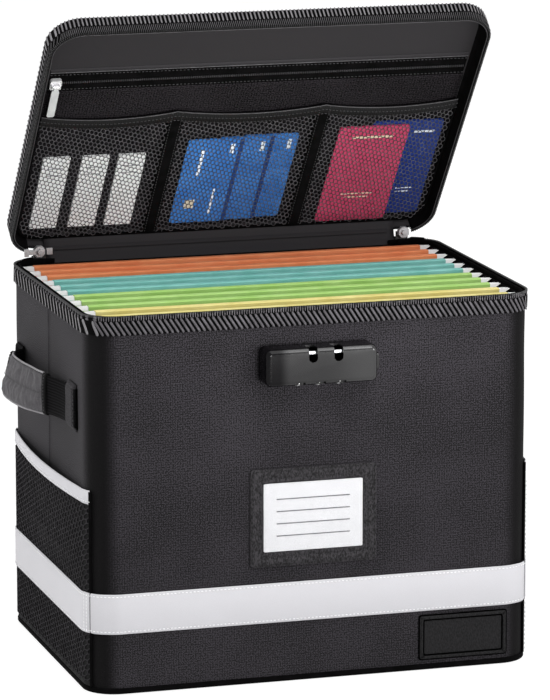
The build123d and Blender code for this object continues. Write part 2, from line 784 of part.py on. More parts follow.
def flat_thing(x, wide, tall, low, thick, radius, lift=0):
    """A flat card or booklet behind the net, in the open part, held up by the net by its lift."""
    with BuildSketch(lid_plane.offset(low)) as face:
        with Locations((x, pocket_floor + lift + tall / 2)):
            RectangleRounded(wide, tall, radius)
    extrude(face.sketch, amount=thick)


with BuildPart() as white_cards:
    for x in (-148.6, -117.2, -87.8):
        flat_thing(x, 21.8, 82.0, lid_floor + 0.3, 2.4, 1, lift=8)
finish(white_cards, "white_cards")

with BuildPart() as blue_cards:
    for x, level in ((-22.0, 2.7), (3.0, 1.6), (23.0, 0.5)):
        flat_thing(x, 46.0, 98.0, lid_floor + level, 0.8, 3, lift=7)
finish(blue_cards, "blue_cards")

with BuildPart() as red_booklet:
    flat_thing(107.0, 58.5, 111.0, lid_floor + 2.2, 1.5, 3)
finish(red_booklet, "red_booklet")

with BuildPart() as blue_booklet:
    flat_thing(135.0, 58.5, 110.0, lid_floor + 0.4, 1.5, 3, lift=4)
finish(blue_booklet, "blue_booklet")

# ---------------------------------------------------------------- sliders of the main zip
slider_length = 10.0
inner_plate = (22.0, 23.1)  # distance from the corner's centre
outer_plate = (27.1, 28.3)
inner_plate_levels = (zip_level - 5.4, zip_level + 5.0)
outer_plate_low = zip_level - 8.5
bridge_low = zip_level - 0.9
bridge_high = zip_level - 0.1
bridge_length = 4.0
pin_radius = 0.6
barrel_radius = 1.3
pin_out = 29.9
pin_level = zip_level - 3.5
main_tab_width = 6.0
main_tab_length = 24.0

for name, side in (("left", -1), ("right", 1)):
    middle_x = side * zip_end_x
    pin_plane = Plane(origin=(middle_x, corner_y + pin_out, pin_level), x_dir=(0, 1, 0), z_dir=(1, 0, 0))
    with BuildPart() as slider:
        for reach, low, high, length in (
            (inner_plate, inner_plate_levels[0], inner_plate_levels[1], slider_length),
            (outer_plate, outer_plate_low, bridge_high, slider_length),
            ((inner_plate[0], outer_plate[1]), bridge_low, bridge_high, bridge_length),
        ):
            with BuildSketch(Plane.XY.offset(low)):
                with Locations((middle_x, corner_y + sum(reach) / 2)):
                    Rectangle(length, reach[1] - reach[0])
            extrude(amount=high - low)
        with BuildSketch(Plane.XZ.offset(-corner_y - outer_plate[1])):
            for end in (-1, 1):
                with Locations((middle_x + end * ear_middle, pin_level)):
                    Rectangle(ear_thick, 2 * barrel_radius)
        extrude(amount=-(pin_out - outer_plate[1] + pin_radius + 0.4))
        with BuildSketch(pin_plane.offset(-ear_middle)):
            Circle(pin_radius)
        extrude(amount=2 * ear_middle)
    finish(slider, f"{name}_zip_slider")

    with BuildPart() as tab:
        with BuildSketch(pin_plane.offset(-barrel_length / 2)):
            Circle(barrel_radius)
        extrude(amount=barrel_length)
        with BuildSketch(Plane.XZ.offset(-corner_y - pin_out - tab_thick / 2)):
            with Locations((middle_x, pin_level - main_tab_length / 2 - 1.5)):
                RectangleRounded(main_tab_width, main_tab_length - 3, 1.5)
            with Locations((middle_x, pin_level - 2.5)):
                Rectangle(barrel_length - 0.6, 5)
            with Locations((middle_x, pin_level - main_tab_length + 3.5)):
                Circle(1.5, mode=Mode.SUBTRACT)
        extrude(amount=tab_thick)
        with BuildSketch(pin_plane.offset(-barrel_length / 2)):
            Circle(pin_radius + pin_fit)
        extrude(amount=barrel_length, mode=Mode.SUBTRACT)
    finish(tab, f"{name}_zip_tab")
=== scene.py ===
import json
import math
from itertools import groupby

import bmesh
import bpy
from mathutils import Matrix, Vector, noise


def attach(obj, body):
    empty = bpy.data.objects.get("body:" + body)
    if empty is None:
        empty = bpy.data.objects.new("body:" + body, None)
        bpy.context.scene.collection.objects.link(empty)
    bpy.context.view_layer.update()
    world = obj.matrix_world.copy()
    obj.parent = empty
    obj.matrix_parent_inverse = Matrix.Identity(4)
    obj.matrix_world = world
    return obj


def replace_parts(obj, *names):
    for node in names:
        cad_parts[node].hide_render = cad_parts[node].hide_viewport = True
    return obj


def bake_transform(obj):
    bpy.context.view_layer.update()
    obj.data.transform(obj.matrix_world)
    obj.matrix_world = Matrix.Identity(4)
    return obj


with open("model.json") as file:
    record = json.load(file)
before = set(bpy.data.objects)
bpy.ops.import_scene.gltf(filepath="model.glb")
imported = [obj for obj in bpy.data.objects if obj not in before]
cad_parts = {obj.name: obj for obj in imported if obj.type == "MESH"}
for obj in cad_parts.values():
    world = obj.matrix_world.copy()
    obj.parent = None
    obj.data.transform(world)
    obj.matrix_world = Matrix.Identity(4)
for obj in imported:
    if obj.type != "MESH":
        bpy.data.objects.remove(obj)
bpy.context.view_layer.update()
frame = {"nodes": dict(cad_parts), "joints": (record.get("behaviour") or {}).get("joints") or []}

nodes = frame["nodes"]

# Sizes are in millimetres, as they would be cut and sewn, and turned to metres by MM.
MM = 0.001
WIDTH, DEPTH, ZIP_LEVEL = 350.0, 250.0, 292.0
HALF_X, HALF_Y, CORNER = WIDTH / 2, DEPTH / 2, 24.0
ARC_X, ARC_Y = HALF_X - CORNER, HALF_Y - CORNER      # middle of a corner's arc
SIDES = (("left", -1), ("right", 1))
HINGE_Y = HALF_Y + 2.5
LID_ANGLE = -[j for j in frame["joints"] if j["name"] == "lid_hinge"][0]["range_deg"][0]


# ---------------------------------------------------------------- planes that pieces are drawn on
def plane(origin, across, up):
    """The matrix from a drawing plane, in metres, to the shared frame."""
    x, y = Vector(across), Vector(up)
    turned = Matrix((x, y, x.cross(y))).transposed().to_4x4()
    return Matrix.Translation(Vector(origin) * MM) @ turned


def moving(body):
    """What a piece rides on, and the plane that it is drawn on: here the shared frame."""
    return body, Matrix.Identity(4)


LEAN = math.radians(LID_ANGLE)
LID_UP = (0, -math.cos(LEAN), math.sin(LEAN))
LID_MIDDLE = (0, HINGE_Y - math.cos(LEAN) * HINGE_Y, ZIP_LEVEL + math.sin(LEAN) * HINGE_Y)
BOX, UNTIED = moving("box"), moving(None)
FRONT = "box", plane((0, -HALF_Y, 0), (1, 0, 0), (0, 0, 1))
LID = "lid", plane(LID_MIDDLE, (1, 0, 0), LID_UP)      # its Z points to the inside of the lid
LID_FLOOR = -13.5                                      # depth of the lid's lining


# ---------------------------------------------------------------- parts of a material
def srgb(code):
    """An sRGB hex colour as the linear values that sockets hold."""
    parts = [int(code[i:i + 2], 16) / 255 for i in (1, 3, 5)]
    return (*[c / 12.92 if c <= 0.04045 else ((c + 0.055) / 1.055) ** 2.4 for c in parts], 1.0)


def per(size_mm):
    """A texture's scale, so that one repeat is this many millimetres."""
    return 1.0 / (size_mm * MM)


def wave_per(size_mm):
    """The same for stripes, which a wave texture draws 20 / 2 pi times as close."""
    return per(size_mm) * 2 * math.pi / 20


def add(tree, kind, links=None, **settings):
    """Adds a node with its settings; links gives an input's value or what it is joined to."""
    node = tree.nodes.new(kind)
    for name, value in settings.items():
        setattr(node, name, value)
    for key, value in (links or {}).items():
        if isinstance(value, bpy.types.NodeSocket):
            tree.links.new(value, node.inputs[key])
        else:
            node.inputs[key].default_value = value
    return node


def finish_of(name, roughness, metallic=0.0, gloss=0.5, **more):
    """A material with its shader, and the tree to draw its pattern in."""
    material = bpy.data.materials.new(name)
    material.use_nodes = True
    tree = material.node_tree
    shader = tree.nodes["Principled BSDF"]
    for key, value in {"Roughness": roughness, "Metallic": metallic, "IOR": 1.5, "Specular IOR Level": gloss,
                       **more}.items():
        shader.inputs[key].default_value = value
    return material, tree, shader


def two_tone(tree, shader, mask, low, high, start=0.35, end=0.65):
    """Colours the surface between two tones, by a mask."""
    ramp = add(tree, "ShaderNodeValToRGB", {"Fac": mask})
    for stop, place, tone in zip(ramp.color_ramp.elements, (start, end), (low, high)):
        stop.position, stop.color = place, srgb(tone)
    tree.links.new(ramp.outputs["Color"], shader.inputs["Base Color"])
    return ramp.outputs["Color"]


def emboss(tree, shader, height, depth_mm):
    bump = add(tree, "ShaderNodeBump", {"Height": height, "Strength": 1.0, "Distance": depth_mm * MM})
    tree.links.new(bump.outputs["Normal"], shader.inputs["Normal"])


def yarn_pattern(tree, place, thread_mm, slub):
    """Over-and-under threads with uneven yarn: bright where a thread crosses on top."""
    warp, weft = [add(tree, "ShaderNodeTexWave", {
        "Vector": place, "Scale": wave_per(thread_mm), "Distortion": 1.2, "Detail": 2.0, "Detail Scale": 0.8},
        bands_direction=axis).outputs["Fac"] for axis in "XY"]
    cross = add(tree, "ShaderNodeMath", {0: warp, 1: weft}, operation="MULTIPLY").outputs[0]
    yarn = add(tree, "ShaderNodeTexNoise", {"Vector": place, "Scale": per(thread_mm * 0.55), "Detail": 1.0,
                                            "Roughness": 0.5}).outputs["Fac"]
    return add(tree, "ShaderNodeMix", {"Factor": slub, "A": cross, "B": yarn}).outputs[0]


def corner_strain(tree, shader, tone, gloss):
    """Painted shade round the box's upright corners: the cloth's colour is darkened and its reflection
    lowered there.
    """
    apart = add(tree, "ShaderNodeSeparateXYZ", {0: add(tree, "ShaderNodeTexCoord").outputs["Object"]})
    shares = []
    for axis, start in (("X", ARC_X), ("Y", ARC_Y)):
        far = add(tree, "ShaderNodeMath", {0: apart.outputs[axis]}, operation="ABSOLUTE").outputs[0]
        shares.append(add(tree, "ShaderNodeMapRange", {"Value": far, "From Min": start * MM,
                                                       "From Max": (start + 13) * MM},
                          interpolation_type="SMOOTHSTEP").outputs[0])
    both = add(tree, "ShaderNodeMath", dict(enumerate(shares)), operation="MULTIPLY").outputs[0]
    # Painted shade: a near-black tone at the corners, and a lowered reflection there.
    dark = add(tree, "ShaderNodeMix", {"Factor": both, "A": tone, "B": srgb("#0c0b0c")}, data_type="RGBA")
    dull = add(tree, "ShaderNodeMapRange", {"Value": both, "To Min": gloss, "To Max": 0.08})
    tree.links.new(dark.outputs["Result"], shader.inputs["Base Color"])
    tree.links.new(dull.outputs[0], shader.inputs["Specular IOR Level"])


# ---------------------------------------------------------------- kinds of finish
def woven(name, low, high, thread_mm, depth_mm, roughness=0.85, sheen=0.08, slub=0.6, padded=False,
          corner_shaded=False, sharp=0.24, gloss=0.25):
    """Woven cloth, its threads drawn on the piece's own cut, or in the solid where it was padded."""
    material, tree, shader = finish_of(name, roughness, gloss=gloss,
                                       **{"Sheen Weight": sheen, "Sheen Roughness": 0.5})
    place = (add(tree, "ShaderNodeTexCoord").outputs["Object"] if padded
             else add(tree, "ShaderNodeUVMap", uv_map="cut").outputs["UV"])
    grain = yarn_pattern(tree, place, thread_mm, slub)
    cloud = add(tree, "ShaderNodeTexNoise", {"Vector": place, "Scale": per(60), "Detail": 2.0})
    mask = add(tree, "ShaderNodeMix", {"Factor": 0.15, "A": grain, "B": cloud.outputs["Fac"]})
    middle = 0.44 if slub < 0.7 else 0.47
    tone = two_tone(tree, shader, mask.outputs[0], low, high, middle - sharp, middle + sharp)
    # Painted shade round the upright corners, on the body's cover only.
    if corner_shaded:
        corner_strain(tree, shader, tone, gloss)
    emboss(tree, shader, grain, depth_mm)
    return material


def ribbed(name, low, high, rib_mm, depth_mm, gloss=0.2):
    """Narrow-woven tape: ribs across its length, which runs along U on its cut."""
    material, tree, shader = finish_of(name, 0.7, gloss=gloss)
    cut = add(tree, "ShaderNodeUVMap", uv_map="cut").outputs["UV"]
    ribs = add(tree, "ShaderNodeTexWave", {"Vector": cut, "Scale": wave_per(rib_mm), "Distortion": 0.5},
               bands_direction="X")
    fuzz = add(tree, "ShaderNodeTexNoise", {"Vector": cut, "Scale": per(1.2), "Detail": 2.0})
    grain = add(tree, "ShaderNodeMix", {"Factor": 0.35, "A": ribs.outputs["Fac"], "B": fuzz.outputs["Fac"]})
    two_tone(tree, shader, grain.outputs[0], low, high, 0.25, 0.75)
    emboss(tree, shader, grain.outputs[0], depth_mm)
    return material


def surface(name, low, high, speck_mm, depth_mm, roughness, metallic=0.0, gloss=0.5):
    """A moulded, coated or plated surface: faint clouds and fine texture in the solid."""
    material, tree, shader = finish_of(name, roughness, metallic, gloss)
    place = add(tree, "ShaderNodeTexCoord").outputs["Object"]
    cloud, speck = [add(tree, "ShaderNodeTexNoise", {"Vector": place, "Scale": per(size), "Detail": detail})
                    for size, detail in ((speck_mm * 12, 3.0), (speck_mm, 2.0))]
    two_tone(tree, shader, cloud.outputs["Fac"], low, high)
    emboss(tree, shader, speck.outputs["Fac"], depth_mm)
    return material


def pebbled(name, low, high):
    """Cover stock embossed with a pebble grain."""
    material, tree, shader = finish_of(name, 0.5, gloss=0.35)
    place = add(tree, "ShaderNodeTexCoord").outputs["Object"]
    pebbles = add(tree, "ShaderNodeTexVoronoi", {"Vector": place, "Scale": per(1.1)},
                  feature="DISTANCE_TO_EDGE").outputs["Distance"]
    two_tone(tree, shader, pebbles, low, high, 0.02, 0.3)
    emboss(tree, shader, pebbles, 0.05)
    return material


def grained(name, low, high, depth_mm):
    """Coated cloth pressed with a slanting, uneven hair grain."""
    material, tree, shader = finish_of(name, 0.75, gloss=0.2)
    place = add(tree, "ShaderNodeTexCoord").outputs["Object"]
    slant = add(tree, "ShaderNodeMapping", {"Vector": place, "Rotation": (0, math.radians(55), 0),
                                            "Scale": (1.0, 1.0, 0.5)})
    hair = add(tree, "ShaderNodeTexNoise", {"Vector": slant.outputs[0], "Scale": per(1.0), "Detail": 3.0,
                                            "Roughness": 0.65}).outputs["Fac"]
    two_tone(tree, shader, hair, low, high, 0.38, 0.62)
    emboss(tree, shader, hair, depth_mm)
    return material


def lock_gloss():
    """The lock's polish, with a painted reflection: its reflection strength is painted low at its left end
    and high at its right, as if it mirrored a dim part of the room at its left and a bright one at its right.
    """
    material, tree, shader = finish_of("polished_abs_cover", 0.17)
    place = add(tree, "ShaderNodeTexCoord").outputs["Object"]
    along = add(tree, "ShaderNodeSeparateXYZ", {0: place}).outputs["X"]
    # Painted reflection: the reflection strength rises along X, from the left end to the right.
    shares = [add(tree, "ShaderNodeMapRange", {"Value": along, "From Min": start, "From Max": end,
                                               "To Min": low, "To Max": high},
                  interpolation_type="SMOOTHSTEP").outputs[0]
              for start, end, low, high in ((-0.034, -0.024, 0.12, 0.47), (0.0, 0.038, 0.0, 0.3))]
    both = add(tree, "ShaderNodeMath", dict(enumerate(shares)), operation="ADD")
    tree.links.new(both.outputs[0], shader.inputs["Specular IOR Level"])
    cloud = add(tree, "ShaderNodeTexNoise", {"Vector": place, "Scale": per(10), "Detail": 2.0})
    two_tone(tree, shader, cloud.outputs["Fac"], "#070608", "#0c0b0d")
    return material


def clear_film():
    """PVC window film: clear, with a weak reflection."""
    material, _, shader = finish_of("pvc_window_film", 0.08)
    shader.inputs["Base Color"].default_value = srgb("#f4f6f7")
    shader.inputs["Alpha"].default_value = 0.12
    material.surface_render_method = "BLENDED"
    return material


# ---------------------------------------------------------------- the finishes
# Polyester oxford, PU-backed: matte, with fine light flecks where its threads cross. Its 0.5 mm
# threads are drawn at 1.9 mm, because they would be too fine to show. The body's cover has
# painted shade round its upright corners; the lid's has none.
oxford, oxford_lid = [
    woven(name, "#020102", "#333035", 1.9, 0.4, sheen=0.02, slub=0.85, corner_shaded=corner_shaded, sharp=0.08)
    for name, corner_shaded in (("oxford_polyester", True), ("oxford_polyester_lid", False))]
# Non-woven lining: smooth and flat, nearly without grain.
lining_cloth = woven("nonwoven_lining", "#222023", "#292729", 1.2, 0.03, roughness=0.75, sheen=0.0)
# Warp-knit panel behind the nets: dull black with a fuzzy, pitted face.
knit_panel = woven("knit_panel", "#010101", "#2a272a", 2.2, 0.5, roughness=0.95, sheen=0.0, slub=0.85,
                   sharp=0.12, gloss=0.06)
knit_black = woven("knit_backing", "#060606", "#0f0f10", 1.8, 0.1, roughness=0.95, sheen=0.0)
# Knitted polyester net: soft dull yarn, lighter than what lies behind it.
net_black = surface("polyester_net_yarn", "#211f22", "#363437", 0.5, 0.03, 0.8, gloss=0.15)
net_grey = surface("nylon_net_yarn", "#424043", "#5c5a5d", 0.5, 0.03, 0.7, gloss=0.2)
# Grosgrain binding tape: cross ribs, deep black.
tape = ribbed("grosgrain_tape", "#060606", "#161517", 1.6, 0.12)
tape_plain = surface("binding_tape_plain", "#040404", "#0a090a", 0.8, 0.05, 1.0, gloss=0.05)
# Corded ribs sewn over the tape: dull grey yarn that stands out against it. The copies for
# the sides and for the lid are lighter versions of the same cord: painted light.
rib_yarn, side_rib_yarn_painted_light, lid_rib_yarn_painted_light = [
    surface(name, low, high, 0.7, 0.04, 0.6, gloss=0.3)
    for name, low, high in (("corded_rib_yarn", "#444245", "#59575b"),
                            ("corded_rib_yarn_pale", "#6e6c6f", "#838184"),
                            ("corded_lid_rib_yarn", "#5b595c", "#706e71"))]
# Drawn nylon monofilament: dark and satin. Its pale copy is a painted highlight, where its turns would catch
# the light; its dull copy is a mid grey.
coil_nylon = surface("nylon_coil", "#131314", "#1d1d1e", 0.6, 0.02, 0.45)
coil_painted_highlight = surface("nylon_coil_pale", "#4a484b", "#626063", 0.6, 0.02, 0.45)
coil_dull = surface("nylon_coil_dull", "#2c2b2d", "#3d3b3e", 0.6, 0.02, 0.5)
# Coated pale band: close, satin cloth.
pale_band = woven("coated_pale_band", "#c6c5c9", "#d6d5d9", 0.9, 0.03, roughness=0.5, sheen=0.0, slub=0.8)
# Polypropylene webbing: deep black with coarse ribs across, nearly without gloss.
webbing = ribbed("polypropylene_webbing", "#010101", "#141315", 2.2, 0.4, gloss=0.03)
# The grip's padded cloth, a soft dark grey, between its dull cuffs and paler edge cords. The cords
# are real; their pale grey is partly their own and partly a painted highlight along the grip's edges.
grip_cloth = woven("padded_grip_cloth", "#3b393c", "#555356", 1.5, 0.15, roughness=0.8, slub=0.95,
                   padded=True)
cuff_cloth = surface("black_cuff_cloth", "#050505", "#0e0d0e", 0.8, 0.1, 0.9, gloss=0.15)
grip_edge_painted_highlight = surface("grip_edge_cord", "#7d7b7e", "#989699", 0.8, 0.05, 0.7)
# Leatherette: a pale hair grain over black, deeper where it was pressed.
leatherette = grained("embossed_leatherette", "#0a090a", "#3c3a3d", 0.3)
leatherette_deep = grained("pressed_leatherette", "#050505", "#1f1e20", 0.2)
# Polyester thread: a soft sheen on each stitch.
thread_dark = surface("black_sewing_thread", "#29282a", "#3b3a3c", 0.4, 0.02, 0.6)
thread_black = surface("deep_black_thread", "#050505", "#0b0b0b", 0.4, 0.02, 0.9)
thread_pale = surface("pale_sewing_thread", "#f0f0f1", "#fbfbfb", 0.4, 0.02, 0.6)
# Painted shade: a near-black cord laid in a patch's open slit and round the bare patch's border.
painted_shade_cord = surface("shaded_slit", "#010101", "#020202", 0.8, 0.01, 1.0, gloss=0.02)
# Printing ink and foil: flat and even.
faint_ink = surface("printed_pale_rule", "#a2a2a5", "#aeaeb1", 0.8, 0.01, 0.6)
ink = surface("printed_grey_rule", "#4a4a4d", "#58585b", 0.8, 0.01, 0.6)
white_bar = surface("printed_white_bar", "#dfe6f2", "#edf2fa", 0.8, 0.01, 0.5)
gold_bar = surface("foil_bar", "#d9c9a8", "#e8dcc0", 0.8, 0.01, 0.4, metallic=0.2)
contact_pad = surface("contact_pad_plating", "#d8ccb4", "#e6dcc6", 0.8, 0.01, 0.4, metallic=0.2)
# Painted shadow beside the blue cards' edges: a darker blue than the cards.
painted_card_shadow = surface("blue_card_shaded_edge", "#0d3068", "#133a7a", 0.8, 0.005, 0.4)
abs_cover = lock_gloss()
# Moulded nylon dials with painted figures.
dial_nylon = surface("moulded_dial_nylon", "#0e0e0f", "#161617", 0.6, 0.01, 0.4)
dial_white = surface("dial_figure_paint", "#f2f2f2", "#ffffff", 0.6, 0.005, 0.4)
# Die-cast zinc under grey lacquer: satin, with soft reflections.
head_zinc = surface("grey_lacquered_zinc", "#9c9b9d", "#b6b5b7", 0.9, 0.03, 0.42, metallic=0.4)
hook_white = surface("coated_hook", "#fafafa", "#ffffff", 0.8, 0.01, 0.4)

# What the kept CAD nodes are made of.
KEPT = {
    surface("greyboard", "#6e675c", "#80786b", 0.8, 0.05, 0.9): (
        "front_board", "back_board", "left_side_boards", "right_side_boards", "base_board", "lid_board"),
    surface("card_stock", "#d8d7da", "#dddcdf", 0.8, 0.01, 0.6): ("label_card",),
    clear_film(): ("label_window",),
    surface("extruded_pvc", "#0d0d0e", "#161617", 0.8, 0.01, 0.5): ("folder_rails",),
    # Zinc-plated steel: bright, with clear reflections.
    surface("zinc_plated_steel", "#c2c2c4", "#d8d8da", 0.5, 0.006, 0.3, metallic=1.0): (
        "rail_rivets", "lock_backing_plate", "lock_screws", "dial_axle", "lock_bolt"),
    # Polished injection-moulded ABS: deep black with clear reflections.
    surface("polished_abs", "#070608", "#0c0b0d", 0.8, 0.003, 0.17): ("lock_base", "release_button"),
    # Folder stock: dyed card with a faint fibre.
    surface("orange_folder_stock", "#ee8652", "#f69864", 1.6, 0.03, 0.7): ("orange_folders",),
    surface("teal_folder_stock", "#76c0b6", "#8accc4", 1.6, 0.03, 0.7): ("teal_folders",),
    surface("green_folder_stock", "#9ecb69", "#b0d67e", 1.6, 0.03, 0.7): ("green_folders",),
    surface("yellow_folder_stock", "#ddd07c", "#eadf93", 1.6, 0.03, 0.7): ("yellow_folders",),
    # Laminated PVC cards: smooth and satin.
    surface("white_pvc_card", "#f3f3f4", "#fafafb", 0.8, 0.01, 0.45): ("white_cards",),
    surface("blue_laminated_card", "#2a6ab6", "#3b7bc6", 1.6, 0.005, 0.35): ("blue_cards",),
    pebbled("red_cover_stock", "#ac3456", "#c24468"): ("red_booklet",),
    pebbled("navy_cover_stock", "#082a76", "#0e388c"): ("blue_booklet",),
    # Die-cast zinc under silver lacquer: pale and satin. The main zip's sliders are coated black.
    surface("silver_lacquered_zinc", "#d9d8da", "#e9e8ea", 0.9, 0.02, 0.38, metallic=0.4): (
        "left_zip_tab", "right_zip_tab", "pocket_zip_slider", "pocket_zip_tab"),
    surface("black_coated_zinc", "#0c0c0d", "#161617", 0.9, 0.01, 0.4): (
        "left_zip_slider", "right_zip_slider"),
}
for finish, names in KEPT.items():
    for node_name in names:
        node = nodes[node_name]
        if not node.material_slots:
            node.data.materials.append(finish)
        for held in node.material_slots:
            held.material = finish


# ---------------------------------------------------------------- making pieces
def linked(name, data):
    """A new object in the scene, with this mesh, text, lamp or lens."""
    made = bpy.data.objects.new(name, data)
    bpy.context.scene.collection.objects.link(made)
    return made


def keep(name, mesh, material, on=BOX, smooth=True):
    """Turns a mesh drawn on a plane, in metres, into a piece that rides on a body."""
    body, where = on
    mesh.transform(where)
    mesh.materials.clear()
    mesh.materials.append(material)
    for face in mesh.polygons:
        face.use_smooth = smooth
    piece = linked(name, mesh)
    if body:
        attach(piece, body)
    return piece


def plain_mesh(build, name):
    mesh = bpy.data.meshes.new(name)
    build.to_mesh(mesh)
    build.free()
    return mesh


def cloth(name, rows, closed=False, flip=False, flat=(0, 0), shut=(False, False)):
    """A mesh of quads over rows of points in millimetres, with its cut as a UV map in metres.

    flat says how many bands at the start and the end are cut by X and Y; shut closes the ends."""
    build = bmesh.new()
    cut = build.loops.layers.uv.new("cut")
    grid = [[build.verts.new(Vector(p) * MM) for p in row] for row in rows]
    widest = max(rows, key=lambda row: math.dist(row[0], row[len(row) // 2]))
    across, up = [0.0], [0.0]
    for a, b in zip(widest, widest[1:] + (widest[:1] if closed else [])):
        across.append(across[-1] + math.dist(a, b) * MM)
    for a, b in zip(rows, rows[1:]):
        up.append(up[-1] + math.dist(a[0], b[0]) * MM)
    count, bands = len(rows[0]), len(rows) - 1
    for j in range(bands):
        level = j < flat[0] or j >= bands - flat[1]
        for i in range(count if closed else count - 1):
            k = (i + 1) % count
            corners = [(grid[j][i], i, j), (grid[j][k], i + 1, j), (grid[j + 1][k], i + 1, j + 1),
                       (grid[j + 1][i], i, j + 1)]
            if flip:
                corners.reverse()
            face = build.faces.new([c[0] for c in corners])
            for loop, (vert, u, v) in zip(face.loops, corners):
                loop[cut].uv = vert.co.xy if level else (across[u], up[v])
    for wanted, ring, turned in ((shut[0], grid[0], not flip), (shut[1], grid[-1], flip)):
        if wanted:
            face = build.faces.new(list(reversed(ring)) if turned else ring)
            for loop in face.loops:
                loop[cut].uv = loop.vert.co.xy
    return plain_mesh(build, name)


def tidy(mesh):
    """Merges doubled points and turns the faces outwards."""
    build = bmesh.new()
    build.from_mesh(mesh)
    bmesh.ops.remove_doubles(build, verts=build.verts, dist=0.01 * MM)
    bmesh.ops.recalc_face_normals(build, faces=build.faces)
    build.to_mesh(mesh)
    build.free()
    return mesh


def sewn(name, rows, material, slot, on=BOX, thick=0.0, offset=-1.0, open_edge=False, **cut):
    """A piece over rows of points: a sheet of this thickness, a closed skin, or a face with an open edge."""
    mesh = cloth(name, rows, **cut)
    piece = keep(name, mesh if thick or open_edge else tidy(mesh), material, on)
    if thick:
        solid = piece.modifiers.new("thickness", "SOLIDIFY")
        solid.thickness, solid.offset = thick * MM, offset
    return piece


def eased(node_name, name, material, radius_mm, on=BOX):
    """A CAD part with its triangles joined into faces, and its sharp edges eased."""
    build = bmesh.new()
    build.from_mesh(nodes[node_name].data)
    bmesh.ops.remove_doubles(build, verts=build.verts, dist=0.004 * MM)
    bmesh.ops.dissolve_limit(build, angle_limit=math.radians(0.6), verts=build.verts, edges=build.edges)
    for edge in build.edges:
        edge.smooth = edge.is_manifold and edge.calc_face_angle(0.0) < math.radians(32)
    piece = keep(name, plain_mesh(build, name), material, on)
    edge = piece.modifiers.new("eased_edges", "BEVEL")
    edge.width, edge.segments, edge.limit_method = radius_mm * MM, 2, "ANGLE"
    edge.angle_limit, edge.use_clamp_overlap, edge.harden_normals = math.radians(40), True, True
    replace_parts(piece, node_name)


# ---------------------------------------------------------------- runs and rows of points
def step_between(value, low, high):
    """0 below low, 1 above high, and a smooth rise between them."""
    t = min(1.0, max(0.0, (value - low) / (high - low)))
    return t * t * (3 - 2 * t)


def soft(p, size_mm, depth_mm):
    """An even, gentle waviness of cloth, between -depth and depth."""
    return depth_mm * noise.noise(Vector((p[0] / size_mm, p[1] / size_mm, p[2] / size_mm)))


def rounded(half_w, half_h, radius, step=6.0, arc=10, centre=(0, 0)):
    """Points round a rounded rectangle, anticlockwise, each with its outward direction."""
    points = []
    for turn, (sx, sy) in enumerate(((1, 1), (-1, 1), (-1, -1), (1, -1))):
        cx, cy = centre[0] + sx * (half_w - radius), centre[1] + sy * (half_h - radius)
        for i in range(arc + 1):
            angle = math.pi / 2 * (turn + i / arc)
            n = (math.cos(angle), math.sin(angle))
            points.append((cx + n[0] * radius, cy + n[1] * radius, *n))
        length = 2 * ((half_w if turn % 2 == 0 else half_h) - radius)
        x, y = points[-1][:2]
        parts = max(1, int(length / step))
        points += [(x - n[1] * length * i / parts, y + n[0] * length * i / parts, *n)
                   for i in range(1, parts)]
    return points


def plan(inset=0.0, step=4.0, arc=12):
    """The box's outline in plan, or one inside it."""
    return rounded(HALF_X - inset, HALF_Y - inset, CORNER - inset, step, arc)


def beside(path, out, level):
    """A run that follows a path, this far outside it."""
    return [(x + nx * out, y + ny * out, level) for x, y, nx, ny in path]


def band_round(path, profile):
    """Rows that follow a path; profile gives (outward, height) pairs."""
    return [beside(path, out, level) for out, level in profile]


def ring_of(path, profile):
    """A solid ring or strip: the profile is closed on itself."""
    return band_round(path, [*profile, profile[0]])


def drawn_in(path, shares, level, wave=None, centre=(0, 0)):
    """Rows that shrink a path towards its middle, wavy where a size and a depth are given."""
    rows = []
    for share in shares:
        spots = [(centre[0] + (x - centre[0]) * share, centre[1] + (y - centre[1]) * share)
                 for x, y, _, _ in path]
        rows.append([(x, y, level + (soft((x, y, 0), *wave) if wave else 0)) for x, y in spots])
    return rows


def along_run(points, distance):
    """The place this far along a run of points, with its direction."""
    for a, b in zip(points, points[1:]):
        size = math.dist(a[:2], b[:2])
        if distance <= size:
            break
        distance -= size
    f = min(1.0, distance / max(size, 1e-9))
    return [p + (q - p) * f for p, q in zip(a, b)]


def run_length(points):
    """The length of a run in plan."""
    return sum(math.dist(a[:2], b[:2]) for a, b in zip(points, points[1:]))


def from_gap(points):
    """What is left of a closed path, started after its widest gap."""
    start = max(range(len(points)), key=lambda i: math.dist(points[i][:2], points[i - 1][:2]))
    return points[start:] + points[:start]


def cut_run(path, half, edge=1, within=1.0):
    """The run of a closed path that leaves out the far or near long edge between -half and half."""
    return from_gap([p for p in path if not (p[1] * edge > HALF_Y - within and abs(p[0]) < half)])


def quarter_runs(out, level):
    """The plan in two pairs of runs, front and back, left and right, which meet in the corners' middles."""
    front, back, left, right = [], [], [], []
    for x, y, nx, ny in plan():
        run = (right if nx > 0 else left) if abs(nx) > abs(ny) else (back if ny > 0 else front)
        run.append((x + nx * out, y + ny * out, level))
    return (from_gap(front), from_gap(back)), (from_gap(left), from_gap(right))


